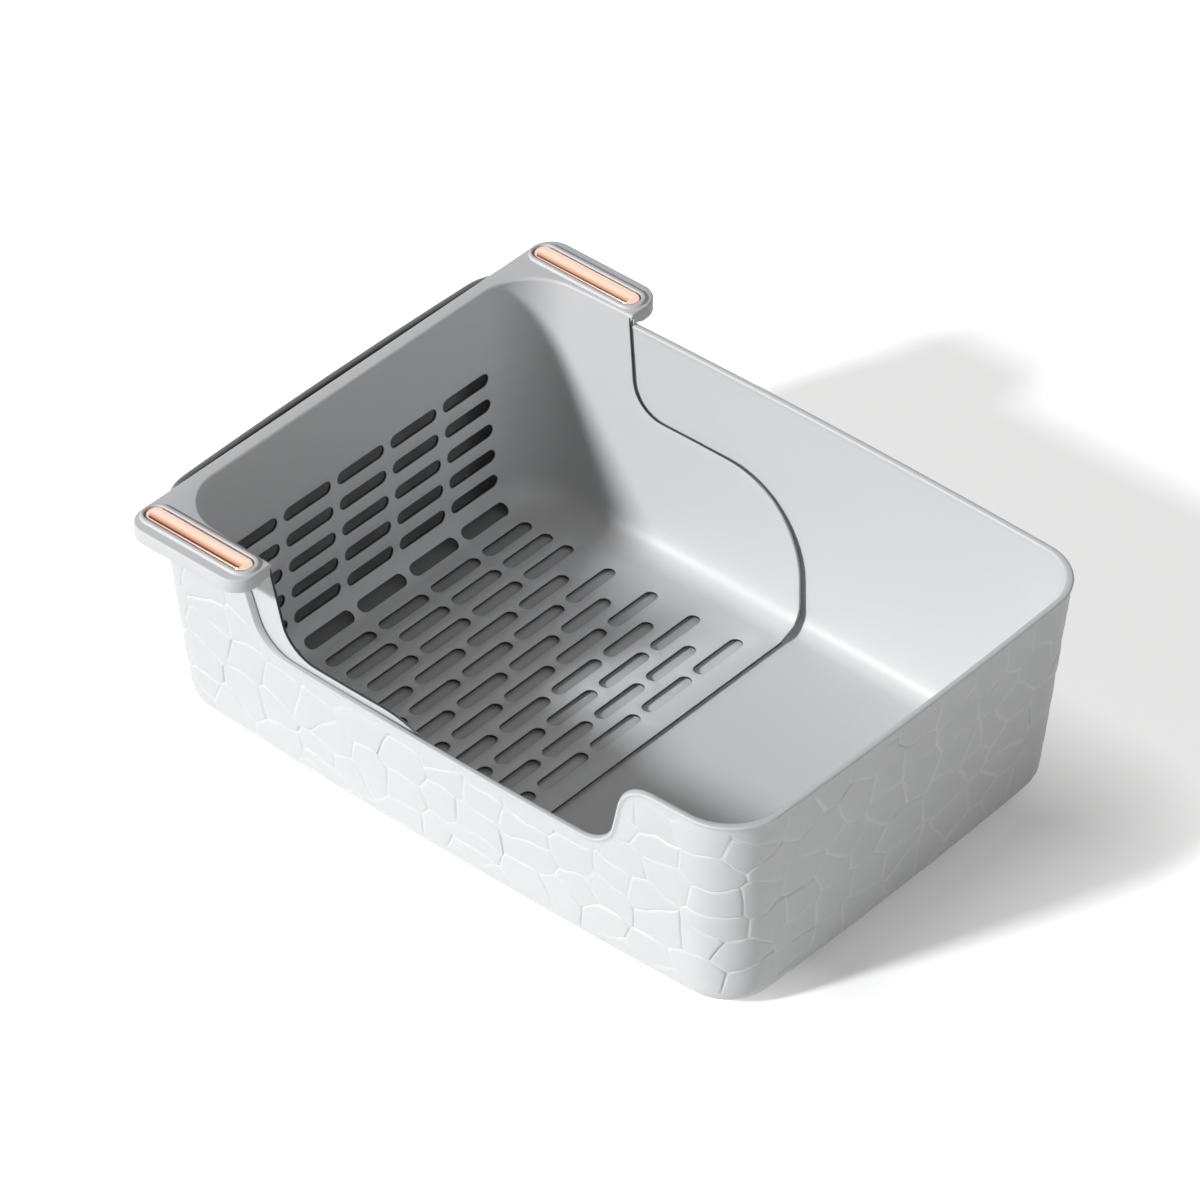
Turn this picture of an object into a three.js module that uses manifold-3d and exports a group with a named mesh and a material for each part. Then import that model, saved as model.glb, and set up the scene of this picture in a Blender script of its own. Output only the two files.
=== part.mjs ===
// A litter box with a lift-out sifting tray.
// Millimetres, +Z up. X runs along the box, with the tray at the -X end, and the low entry is at -Y.
// The origin is on the floor, below the middle of the box.

import * as THREE from "three";
import { mergeVertices } from "three/addons/utils/BufferGeometryUtils.js";
import Module from "manifold-3d";

const wasm = await Module();
wasm.setup();

// The pan
const panLength = 536;
const panWidth = 380;
const panHeight = 176;
const panWall = 3.2;
const panFloor = 2.4;
const panCornerRadius = 40;
const panFootRadius = 20;
const panInnerFillet = 17.5;
const panEndBow = 3.4;
const panSideBow = 5.4;
const wallDraftShare = 0.0787;
const cornerDraftShare = 0.3;
const footTuckShare = 0.85;
const leftCornerLoss = 13;
const leftCornerRun = 8;
const leftFootTuckShare = -0.1;
const lipProud = 1.9;
const lipHeight = 5;
const lipRound = 1.2;

// The low entry in the pan's front wall
const entryHeight = 106;
const entryWidth = 307.5;
const entryOffset = -3.75;
const entryLean = 18;
const entryFootRadius = 30;
const entryTopRadius = 32;

// The anti-slip pads under the pan
const padDiameter = 26;
const padProud = 1.2;
const padRecess = 1.2;
const padEdge = 0.5;
const padSetbackX = 62;
const padSetbackY = 58;

// The sifting tray
const trayWall = 2.2;
const trayFloor = 1.8;
const trayFloorGap = 1.2;
const traySideGap = 1.2;
const trayDraftExtraShare = 0.006;
const trayFillet = 22;
const trayCornerRadius = 40;
const trayReach = 290.6;
const flangeWidth = 10.7;
const flangeInset = 16;

// The edge of the tray's side walls, seen from the front
const sideKneeHeight = 110.5;
const sideKneeBack = 160;
const sideKneeLean = 11.4;
const sideKneeRadius = 28;
const sideCrestBack = 9.6;
const sideCrestRadius = 72;

// The grips that the tray is lifted by
const gripLength = 106;
const gripReach = 24.5;
const gripHeight = 11.2;
const gripAbovePan = 9.5;
const gripPlate = 2.5;
const gripSkirt = 2.5;
const gripCornerRadius = 17;
const gripEdgeRound = 1.2;
const gripRib = 2;
const gripRibCount = 3;
const gripRibReach = 3.5;
const rimClearance = 1;
const seatGap = 0.3;

// The metal bars let into the grips
const barLength = 94;
const barWidth = 14.6;
const barBevel = 3.4;
const barBevelDrop = 1.7;
const barProud = 1;
const barGap = 0.5;
const barSetback = 4.8;
const barInset = 19.3;
const barEndRadius = 7;
const barPegDiameter = 4;
const barPegShare = 0.36;
const barPegTip = 1.4;
const collarWidth = 3.2;
const collarHeight = 2.5;
const collarSlope = 1.4;
const pocketFloor = 1.3;

// The slots
const slotWidth = 10.2;
const slotLength = 47;
const slotPitchAcross = 53.9;
const slotsAcross = 5;
const floorColumns = 12;
const alignedColumns = 4;
const floorColumnPitch = 19.6;
const lastColumnBack = 22.6;
const floorSlotOffset = 2;
const wallRows = 5;
const wallRowPitch = 21.6;
const topRowHeight = 115;
const filletSlotTurn = 0.55;

// Cutting and rounding
const overrun = 2;
const cornerSteps = 8;
const sideSteps = 4;
const filletSteps = 6;
const edgeSteps = 9;
const capSteps = 3;
const padSides = 32;
const pegSides = 16;
const weldDistance = 0.002;

// Places that follow from the sizes above
const quarterTurn = Math.PI / 2;
const baseZ = padProud;
const floorTop = baseZ + panFloor;
const trayUnder = floorTop + trayFloorGap;
const trayTop = trayUnder + trayFloor;
const gripTop = panHeight + gripAbovePan;
const gripUnder = gripTop - gripHeight;
const plateUnder = gripTop - gripPlate;
const plasticGrey = new THREE.Color(0.79, 0.79, 0.8);
const plasticFinish = { roughness: 0.42, metalness: 0 };
const roseGold = new THREE.Color(0.93, 0.66, 0.53);
const roseFinish = { roughness: 0.22, metalness: 1 };
const padGrey = new THREE.Color(0.42, 0.43, 0.44);
const padFinish = { roughness: 0.8, metalness: 0 };

// How far a drafted wall stands in from the rim's outline at a height
const wallInset = (z) => lipProud + (panHeight - z) * wallDraftShare;

// A closed geometry becomes a solid, and a solid becomes a geometry again.
function solid(geometry) {
  const bare = geometry.index ? geometry.toNonIndexed() : geometry.clone();
  bare.deleteAttribute("normal");
  bare.deleteAttribute("uv");
  const merged = mergeVertices(bare, weldDistance);
  return new wasm.Manifold(
    new wasm.Mesh({
      numProp: 3,
      vertProperties: merged.attributes.position.array,
      triVerts: new Uint32Array(merged.index.array),
    }),
  );
}

function geometryOf(body) {
  const mesh = body.getMesh();
  const geometry = new THREE.BufferGeometry();
  geometry.setAttribute("position", new THREE.BufferAttribute(new Float32Array(mesh.vertProperties), mesh.numProp));
  geometry.setIndex(new THREE.BufferAttribute(new Uint32Array(mesh.triVerts), 1));
  const flat = geometry.toNonIndexed();
  flat.computeVertexNormals();
  return flat;
}

// A solid through a stack of outlines that have the same number of points, lowest first
function loft(rings) {
  const count = rings[0].outline.length;
  const positions = [];
  const corner = (ring, i) => [ring.outline[i % count].x, ring.outline[i % count].y, ring.z];
  for (let k = 0; k + 1 < rings.length; k++) {
    const low = rings[k];
    const high = rings[k + 1];
    for (let i = 0; i < count; i++) {
      positions.push(...corner(low, i), ...corner(low, i + 1), ...corner(high, i + 1));
      positions.push(...corner(low, i), ...corner(high, i + 1), ...corner(high, i));
    }
  }
  const top = rings[rings.length - 1];
  for (const [a, b, c] of THREE.ShapeUtils.triangulateShape(rings[0].outline, []))
    positions.push(...corner(rings[0], c), ...corner(rings[0], b), ...corner(rings[0], a));
  for (const [a, b, c] of THREE.ShapeUtils.triangulateShape(top.outline, []))
    positions.push(...corner(top, a), ...corner(top, b), ...corner(top, c));
  const geometry = new THREE.BufferGeometry();
  geometry.setAttribute("position", new THREE.Float32BufferAttribute(positions, 3));
  return solid(geometry);
}

// A rounded rectangle with bowed sides, anticlockwise. Its -X corners may have a radius of their own.
function plan(halfLength, halfWidth, radius, endBow = 0, sideBow = 0, leftRadius = radius) {
  const reachX = halfLength - endBow;
  const reachY = halfWidth - sideBow;
  const centres = [
    [reachX - radius, reachY - radius, radius],
    [leftRadius - reachX, reachY - leftRadius, leftRadius],
    [leftRadius - reachX, leftRadius - reachY, leftRadius],
    [reachX - radius, radius - reachY, radius],
  ];
  const points = [];
  centres.forEach(([x, y, bend], quadrant) => {
    for (let i = 0; i <= cornerSteps; i++) {
      const angle = (quadrant + i / cornerSteps) * quarterTurn;
      points.push(new THREE.Vector2(x + bend * Math.cos(angle), y + bend * Math.sin(angle)));
    }
    const last = points[points.length - 1];
    const [nextX, nextY, nextBend] = centres[(quadrant + 1) % centres.length];
    const turn = (quadrant + 1) * quarterTurn;
    const next = new THREE.Vector2(nextX + nextBend * Math.cos(turn), nextY + nextBend * Math.sin(turn));
    for (let i = 1; i < sideSteps; i++) points.push(last.clone().lerp(next, i / sideSteps));
  });
  return points.map(({ x, y }) => {
    const alongX = 1 - (x / reachX) ** 2;
    const alongY = 1 - (y / reachY) ** 2;
    return new THREE.Vector2(x + Math.sign(x) * endBow * alongY, y + Math.sign(y) * sideBow * alongX);
  });
}

// A polygon whose corners, given as [x, y, radius], are rounded
function rounded(corners, steps = edgeSteps) {
  const points = [];
  corners.forEach(([x, y, radius], i) => {
    const here = new THREE.Vector2(x, y);
    if (!radius) {
      points.push(here);
      return;
    }
    const before = corners[(i + corners.length - 1) % corners.length];
    const after = corners[(i + 1) % corners.length];
    const back = new THREE.Vector2(before[0], before[1]).sub(here).normalize();
    const on = new THREE.Vector2(after[0], after[1]).sub(here).normalize();
    const halfAngle = Math.acos(back.dot(on)) / 2;
    const centre = here.clone().addScaledVector(back.clone().add(on).normalize(), radius / Math.sin(halfAngle));
    const from = here.clone().addScaledVector(back, radius / Math.tan(halfAngle)).sub(centre);
    const sweep = (Math.PI - 2 * halfAngle) * Math.sign(on.cross(back));
    for (let k = 0; k <= steps; k++)
      points.push(from.clone().rotateAround(new THREE.Vector2(), (sweep * k) / steps).add(centre));
  });
  return points;
}

// A straight prism over an outline in X and Y
const prism = (outline, low, high) =>
  loft([
    { outline, z: low },
    { outline, z: high },
  ]);

const block = (lowX, lowY, highX, highY, low, high) =>
  prism(rounded([[lowX, lowY], [highX, lowY], [highX, highY], [lowX, highY]]), low, high);

// A prism over an outline in X and Z, which runs along Y
function sidePrism(outline, lowY, highY) {
  const geometry = new THREE.ExtrudeGeometry(new THREE.Shape(outline), { depth: highY - lowY, bevelEnabled: false });
  geometry.rotateX(quarterTurn);
  geometry.translate(0, highY, 0);
  return solid(geometry);
}

const mesh = (name, body, color, finish) => {
  const made = new THREE.Mesh(geometryOf(body), new THREE.MeshStandardMaterial({ color, ...finish }));
  made.name = name;
  return made;
};

// The pan's outline, drawn in by an inset. Its corners are tighter by their own amount, the -X ones by more.
function panPlan(inset, cornerLoss, leftLoss = 0) {
  const radius = panCornerRadius - cornerLoss;
  return plan(panLength / 2 - inset, panWidth / 2 - inset, radius, panEndBow, panSideBow, radius - leftLoss);
}

// How much tighter the -X corners of the walls are below the lip
const leftLossAt = (z) =>
  leftCornerLoss * THREE.MathUtils.clamp((panHeight - lipHeight - z) / leftCornerRun, 0, 1);

// Rings of a drafted shell: a rounded foot, then the wall up to a height
function shellRings(bottom, fillet, extraInset, outlineAt, heights) {
  const centreZ = bottom + fillet;
  const centreInset = wallInset(centreZ) + extraInset + fillet;
  const rings = [];
  for (let i = 0; i <= filletSteps; i++) {
    const angle = (i / filletSteps) * quarterTurn;
    const inset = centreInset - fillet * Math.sin(angle);
    const z = centreZ - fillet * Math.cos(angle);
    rings.push({ outline: outlineAt(inset, fillet * (1 - Math.sin(angle)), z), z });
  }
  for (const z of heights) rings.push({ outline: outlineAt(wallInset(z) + extraInset, 0, z), z });
  return rings;
}

// The draft takes a little off the corners, and the foot's tuck takes more.
const panOutlineAt = (inset, tuck, z) => {
  const cornerLoss = (inset - tuck) * cornerDraftShare + tuck * footTuckShare;
  return panPlan(inset, cornerLoss, leftLossAt(z) - tuck * (footTuckShare - leftFootTuckShare));
};

function panBody() {
  const lipUnder = panHeight - lipHeight;
  const outside = shellRings(baseZ, panFootRadius, 0, panOutlineAt, [lipUnder - leftCornerRun, lipUnder]);
  const edge = (inset, z) => outside.push({ outline: panPlan(inset, inset * cornerDraftShare), z });
  edge(0, lipUnder + lipRound);
  edge(0, panHeight - lipRound);
  edge(lipRound, panHeight);
  const heights = [lipUnder - leftCornerRun, lipUnder, panHeight - lipRound];
  const inside = shellRings(floorTop, panInnerFillet, panWall, panOutlineAt, heights);
  const flare = wallInset(panHeight) + panWall - lipRound;
  inside.push({ outline: panPlan(flare, flare * cornerDraftShare), z: panHeight });
  inside.push({ outline: panPlan(flare, flare * cornerDraftShare), z: panHeight + overrun });
  let body = loft(outside).subtract(loft(inside));
  body = body.subtract(entryCutter());
  for (const [x, y] of padPlaces()) body = body.subtract(disc(padDiameter / 2 + seatGap, baseZ - overrun, baseZ + padRecess, x, y));
  return body;
}

// The low entry: flat along its sill, with a sweep up to the rim at each end
function entryCutter() {
  const half = entryWidth / 2;
  const left = entryOffset - half;
  const right = entryOffset + half;
  const beyond = entryLean + entryTopRadius * 2;
  const outline = rounded([
    [left, entryHeight, entryFootRadius],
    [right, entryHeight, entryFootRadius],
    [right + entryLean, panHeight, entryTopRadius],
    [right + beyond, panHeight],
    [right + beyond, panHeight + overrun],
    [left - beyond, panHeight + overrun],
    [left - beyond, panHeight],
    [left - entryLean, panHeight, entryTopRadius],
  ]);
  return sidePrism(outline, -panWidth / 2 - overrun, -panWidth / 2 + panCornerRadius);
}

const disc = (radius, low, high, x, y) => {
  const geometry = new THREE.CylinderGeometry(radius, radius, high - low, padSides);
  geometry.rotateX(quarterTurn);
  geometry.translate(x, y, (low + high) / 2);
  return solid(geometry);
};

function padPlaces() {
  const x = panLength / 2 - padSetbackX;
  const y = panWidth / 2 - padSetbackY;
  return [[-x, -y], [x, -y], [-x, y], [x, y]];
}

// A pad is a disc with a softened lower edge.
function padBody(x, y) {
  const radius = padDiameter / 2;
  const height = padProud + padRecess - seatGap;
  const profile = [[0, 0], [radius - padEdge, 0], [radius, padEdge], [radius, height], [0, height]];
  const geometry = new THREE.LatheGeometry(profile.map(([r, z]) => new THREE.Vector2(r, z)), padSides);
  geometry.rotateX(quarterTurn);
  geometry.translate(x, y, 0);
  return solid(geometry);
}

// The tray's faces: its sides follow the pan's inner walls, and its end stands further in.
const trayEndX = (z, outwards) => -panLength / 2 + flangeInset + flangeWidth - outwards + (gripTop - z) * wallDraftShare;
const traySideGapAt = (z) => traySideGap + (gripTop - z) * trayDraftExtraShare;
const traySideY = (z, inwards) => panWidth / 2 - wallInset(z) - panWall - traySideGapAt(z) - inwards;

// A tray-shaped solid that is closed at the -X end and runs past the open end
function trayShell(bottom, fillet, skin, top) {
  const centreZ = bottom + fillet;
  const farX = trayReach + panCornerRadius;
  const rings = [];
  const ring = (z, tuck) => {
    const wallZ = Math.max(z, centreZ);
    const lowX = trayEndX(wallZ, trayWall - skin) + tuck;
    const halfWidth = traySideY(wallZ, skin) - tuck;
    const radius = trayCornerRadius + trayWall - skin - tuck * footTuckShare;
    const outline = plan(farX / 2, halfWidth, radius, 0, panSideBow);
    rings.push({ outline: outline.map((p) => new THREE.Vector2(p.x + farX / 2 + lowX, p.y)), z });
  };
  for (let i = 0; i <= filletSteps; i++) {
    const angle = (i / filletSteps) * quarterTurn;
    ring(centreZ - fillet * Math.cos(angle), fillet * (1 - Math.sin(angle)));
  }
  ring(top, 0);
  return loft(rings);
}

// What the side edges leave of the tray: below and behind an S-shaped line
function traySideRegion() {
  const openX = -panLength / 2 + trayReach;
  const farX = -panLength / 2 - overrun;
  const crestX = openX - sideCrestBack;
  const kneeX = openX - sideKneeBack;
  const top = gripTop + overrun;
  const topX = kneeX - (sideKneeLean * (top - sideKneeHeight)) / (gripTop - sideKneeHeight);
  const outline = rounded([
    [farX, 0],
    [openX, 0],
    [openX, trayTop],
    [crestX, sideKneeHeight, sideCrestRadius],
    [kneeX, sideKneeHeight, sideKneeRadius],
    [topX, top],
    [farX, top],
  ]);
  return sidePrism(outline, -panWidth, panWidth);
}

// The flange and the two grips: a plate with a skirt, open below
function gripOutline(inset) {
  const left = -panLength / 2 + flangeInset + inset;
  const right = -panLength / 2 + flangeInset + gripLength - inset;
  const half = panWidth / 2 + gripReach - inset;
  const radius = gripCornerRadius - inset;
  return rounded([[left, -half, radius], [right, -half, radius], [right, half, radius], [left, half, radius]], cornerSteps);
}

function flangeBody() {
  const outer = loft([
    { outline: gripOutline(0), z: gripUnder },
    { outline: gripOutline(0), z: gripTop - gripEdgeRound },
    { outline: gripOutline(gripEdgeRound), z: gripTop },
  ]);
  const hollow = prism(gripOutline(gripSkirt), gripUnder - overrun, plateUnder);
  const wall = trayShell(trayUnder, trayFillet + trayWall, 0, gripTop);
  let body = outer.subtract(hollow.subtract(wall));
  for (const side of [-1, 1]) body = body.add(collar(side)).add(ribs(side));
  for (const side of [-1, 1]) body = body.subtract(barPocket(side));
  return body.subtract(rimRoom());
}

// Room for the pan's rim to pass under the skirt, the plate and the ribs
function rimRoom() {
  const low = gripUnder - overrun;
  const outside = prism(panPlan(-rimClearance, 0), low, panHeight + seatGap);
  const inset = wallInset(panHeight) + panWall + traySideGap;
  const inside = prism(panPlan(inset, inset * cornerDraftShare), low - overrun, panHeight + overrun);
  return outside.subtract(inside);
}

// Ribs under each grip, which rest on the pan's rim and leave the outer part free for the fingers
function ribs(side) {
  const start = -panLength / 2 + flangeInset;
  const inner = panWidth / 2 - wallInset(panHeight) - panWall - traySideGap - trayWall / 2;
  const outer = panWidth / 2 + gripRibReach;
  let body = null;
  for (let i = 1; i <= gripRibCount; i++) {
    const x = start + (gripLength * i) / (gripRibCount + 1);
    const [lowY, highY] = side < 0 ? [-outer, -inner] : [inner, outer];
    const rib = block(x - gripRib / 2, lowY, x + gripRib / 2, highY, gripUnder + lipRound, plateUnder + gripPlate / 2);
    body = body ? body.add(rib) : rib;
  }
  return body;
}

// A bar's outline, grown or shrunk all round
function barOutline(side, grow) {
  const centreX = -panLength / 2 + flangeInset + barSetback + barLength / 2;
  const centreY = side * (panWidth / 2 + gripReach - barInset);
  const halfX = barLength / 2 + grow;
  const halfY = barWidth / 2 + grow;
  const radius = barEndRadius + grow;
  const corners = [[-halfX, -halfY, radius], [halfX, -halfY, radius], [halfX, halfY, radius], [-halfX, halfY, radius]];
  return rounded(corners, cornerSteps).map((p) => new THREE.Vector2(centreX + p.x, centreY + p.y));
}

// The raised collar round a bar
const collar = (side) =>
  loft([
    { outline: barOutline(side, barGap + collarWidth + collarSlope), z: gripTop - gripPlate / 2 },
    { outline: barOutline(side, barGap + collarWidth + collarSlope), z: gripTop },
    { outline: barOutline(side, barGap + collarWidth), z: gripTop + collarHeight },
  ]);

const pegPlaces = (side) => {
  const centreX = -panLength / 2 + flangeInset + barSetback + barLength / 2;
  const y = side * (panWidth / 2 + gripReach - barInset);
  return [-barPegShare, barPegShare].map((share) => [centreX + share * barLength, y]);
};

function peg(radius, low, high, x, y) {
  const geometry = new THREE.CylinderGeometry(radius, radius, high - low, pegSides);
  geometry.rotateX(quarterTurn);
  geometry.translate(x, y, (low + high) / 2);
  return solid(geometry);
}

function barPocket(side) {
  let body = prism(barOutline(side, barGap), plateUnder + pocketFloor, gripTop + collarHeight + overrun);
  for (const [x, y] of pegPlaces(side))
    body = body.add(peg(barPegDiameter / 2 + seatGap, plateUnder - overrun, gripTop, x, y));
  return body;
}

// A metal bar with a bevelled top and two pegs
function barBody(side) {
  const low = plateUnder + pocketFloor + seatGap;
  const top = gripTop + collarHeight + barProud;
  let body = loft([
    { outline: barOutline(side, 0), z: low },
    { outline: barOutline(side, 0), z: top - barBevelDrop },
    { outline: barOutline(side, -barBevel / 2), z: top - barBevelDrop / 4 },
    { outline: barOutline(side, -barBevel), z: top },
  ]);
  for (const [x, y] of pegPlaces(side))
    body = body.add(peg(barPegDiameter / 2, plateUnder - barPegTip, low + barBevelDrop, x, y));
  return body;
}

// A slot's cutter: a stadium along Y that reaches a distance to each side of its middle, turned about Y
function slotCutter(reach, turn, x, y, z) {
  const halfX = slotWidth / 2;
  const halfY = slotLength / 2;
  const corners = [[-halfX, -halfY, halfX], [halfX, -halfY, halfX], [halfX, halfY, halfX], [-halfX, halfY, halfX]];
  const outline = rounded(corners, capSteps);
  const geometry = new THREE.ExtrudeGeometry(new THREE.Shape(outline), { depth: reach * 2, bevelEnabled: false });
  geometry.translate(0, 0, -reach);
  geometry.rotateY(turn);
  geometry.translate(x, y, z);
  return solid(geometry);
}

// Where each slot is: its middle, its turn about Y and the side that its cutter reaches to
function slotPlaces() {
  const places = [];
  const rowOf = (count) => [...Array(count)].map((_, i) => (i - (count - 1) / 2) * slotPitchAcross);
  const openX = -panLength / 2 + trayReach;
  for (let column = 1; column < floorColumns; column++) {
    const x = openX - lastColumnBack - (floorColumns - 1 - column) * floorColumnPitch;
    const staggered = column >= alignedColumns && (column - alignedColumns) % 2 === 0;
    for (const y of rowOf(staggered ? slotsAcross - 1 : slotsAcross))
      places.push([0, x, y - floorSlotOffset, (trayUnder + trayTop) / 2]);
  }
  const radius = trayFillet + trayWall / 2;
  const centreZ = trayTop + trayFillet;
  const centreX = trayEndX(centreZ, 0) + trayFillet;
  const filletX = centreX - radius * Math.sin(filletSlotTurn);
  const filletZ = centreZ - radius * Math.cos(filletSlotTurn);
  for (const y of rowOf(slotsAcross)) places.push([filletSlotTurn, filletX, y, filletZ]);
  for (let row = 0; row < wallRows; row++) {
    const z = topRowHeight - row * wallRowPitch;
    for (const y of rowOf(slotsAcross)) places.push([quarterTurn - Math.atan(wallDraftShare), trayEndX(z, trayWall / 2), y, z]);
  }
  return places;
}

function trayBody() {
  const top = gripTop + overrun;
  const outside = trayShell(trayUnder, trayFillet + trayWall, 0, plateUnder + gripPlate / 2);
  const inside = trayShell(trayTop, trayFillet, trayWall, top);
  let body = outside.add(flangeBody()).subtract(inside).intersect(traySideRegion().add(gripRegion()));
  for (const [turn, x, y, z] of slotPlaces()) body = body.subtract(slotCutter(trayFillet / 2, turn, x, y, z));
  return body;
}

// Everything above the walls' edge that belongs to the grips
function gripRegion() {
  const left = -panLength / 2;
  const half = panWidth / 2 + gripReach + overrun;
  const inner = traySideY(gripUnder, 0);
  const right = left + flangeInset + gripLength + overrun;
  const top = gripTop + collarHeight + overrun;
  const front = block(left, -half, right, -inner, gripUnder - overrun, top);
  const back = block(left, inner, right, half, gripUnder - overrun, top);
  const plate = block(left, -half, right, half, plateUnder, top);
  return front.add(back).add(plate);
}

const litterBox = new THREE.Group();
litterBox.add(mesh("litter_pan", panBody(), plasticGrey, plasticFinish));
const padNames = ["front_left_pad", "front_right_pad", "back_left_pad", "back_right_pad"];
padPlaces().forEach(([x, y], i) => litterBox.add(mesh(padNames[i], padBody(x, y), padGrey, padFinish)));
const sifter = new THREE.Group();
sifter.add(mesh("sifting_tray", trayBody(), plasticGrey, plasticFinish));
sifter.add(mesh("front_grip_bar", barBody(-1), roseGold, roseFinish));
sifter.add(mesh("back_grip_bar", barBody(1), roseGold, roseFinish));
litterBox.add(sifter);

export default litterBox;
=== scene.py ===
# %% [markdown]
# A sifting litter box
#
# The box is two plastic mouldings. The pan stands on the floor, and a slotted tray hangs in its
# left half, so that it can be lifted out with the clumps in it. Two rose-gold bars mark its grips.
#
# The measured model is loaded first, as a frame that nothing here moves. Every piece made below
# takes the place of one of its nodes. All lengths are in metres.

# %% Load the frame
import math

import bmesh
import bpy
import numpy as np
from mathutils import Matrix, Vector
from mathutils.geometry import delaunay_2d_cdt


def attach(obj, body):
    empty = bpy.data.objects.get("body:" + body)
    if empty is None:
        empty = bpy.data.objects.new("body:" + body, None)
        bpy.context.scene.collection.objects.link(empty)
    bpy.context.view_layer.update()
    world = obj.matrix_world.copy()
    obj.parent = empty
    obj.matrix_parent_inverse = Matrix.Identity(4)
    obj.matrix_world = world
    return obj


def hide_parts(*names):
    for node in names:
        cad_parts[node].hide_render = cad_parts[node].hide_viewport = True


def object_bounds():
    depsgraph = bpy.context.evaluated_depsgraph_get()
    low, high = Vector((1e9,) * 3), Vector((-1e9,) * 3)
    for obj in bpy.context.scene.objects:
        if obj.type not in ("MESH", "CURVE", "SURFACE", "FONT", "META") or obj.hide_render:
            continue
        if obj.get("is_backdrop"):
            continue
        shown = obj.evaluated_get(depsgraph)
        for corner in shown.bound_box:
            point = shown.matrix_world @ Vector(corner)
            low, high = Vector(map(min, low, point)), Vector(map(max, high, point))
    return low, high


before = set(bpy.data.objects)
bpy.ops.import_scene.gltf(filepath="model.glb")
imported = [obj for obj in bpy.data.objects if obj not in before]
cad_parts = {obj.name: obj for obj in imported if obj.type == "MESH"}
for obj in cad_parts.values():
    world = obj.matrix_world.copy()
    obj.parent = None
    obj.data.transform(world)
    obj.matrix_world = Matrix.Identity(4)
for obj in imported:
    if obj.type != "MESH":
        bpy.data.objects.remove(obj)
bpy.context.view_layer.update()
MM = 0.001
print("nodes of the frame:", sorted(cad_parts))

# %% [markdown]
# The camera
#
# The photograph looks down on the box from its front right, from far away, so that lines that run
# together stay almost parallel. A long lens at five metres gives that. The direction is written as
# two angles, which are easier to correct than a place.

# %% Camera
CAMERA_TURN = math.radians(41.353)
CAMERA_HEIGHT = math.radians(39.295)
CAMERA_ROLL = math.radians(0.025)
CAMERA_DISTANCE = 5.036
CAMERA_TARGET = Vector((-10.41, -5.98, 120.01)) * MM
LENS_PER_SENSOR = 7470.5 / 1200
SENSOR = 36

towards_camera = Vector((
    math.sin(CAMERA_TURN) * math.cos(CAMERA_HEIGHT),
    -math.cos(CAMERA_TURN) * math.cos(CAMERA_HEIGHT),
    math.sin(CAMERA_HEIGHT),
))
camera_data = bpy.data.cameras.new("camera")
camera_data.sensor_width = SENSOR
camera_data.lens = LENS_PER_SENSOR * SENSOR
camera_data.clip_end = 50
camera = bpy.data.objects.new("camera", camera_data)
bpy.context.scene.collection.objects.link(camera)
camera.rotation_mode = "QUATERNION"
camera.location = CAMERA_TARGET + towards_camera * CAMERA_DISTANCE
roll = Matrix.Rotation(CAMERA_ROLL, 3, "Z").to_quaternion()
camera.rotation_quaternion = towards_camera.to_track_quat("Z", "Y") @ roll
bpy.context.scene.camera = camera
print("camera at", [round(c, 3) for c in camera.location], "lens", round(camera_data.lens, 1))

# %% [markdown]
# Sums with sockets
#
# Patterns in a material are sums: stretch, add, take the smaller. Drawn as nodes they are long
# chains that are hard to read and slow to change. So one small class wraps a socket, and turns
# Python's operators into Math nodes.

# %% Sums
class Sum:
    """A socket that can be used in a sum. Each operator adds one Math node."""

    def __init__(self, finish, socket):
        self.finish = finish
        self.socket = socket

    def math(self, operation, *others):
        sockets = {i: other for i, other in enumerate((self, *others))}
        return self.finish.node("ShaderNodeMath", {"operation": operation}, sockets)

    def __add__(self, other):
        return self.math("ADD", other)

    __radd__ = __add__

    def __sub__(self, other):
        return self.math("SUBTRACT", other)

    def __rsub__(self, other):
        return (self * -1) + other

    def __mul__(self, other):
        return self.math("MULTIPLY", other)

    __rmul__ = __mul__


print("sums take + - and *, either way round")

# %% [markdown]
# The nodes of a finish
#
# A finish is a material's set of nodes. One method makes any node from its type, its settings and
# its sockets, and short methods stand for the nodes that are needed often. The same class writes
# the nodes of the surrounding light, because a surround has a node tree as well.

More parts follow.
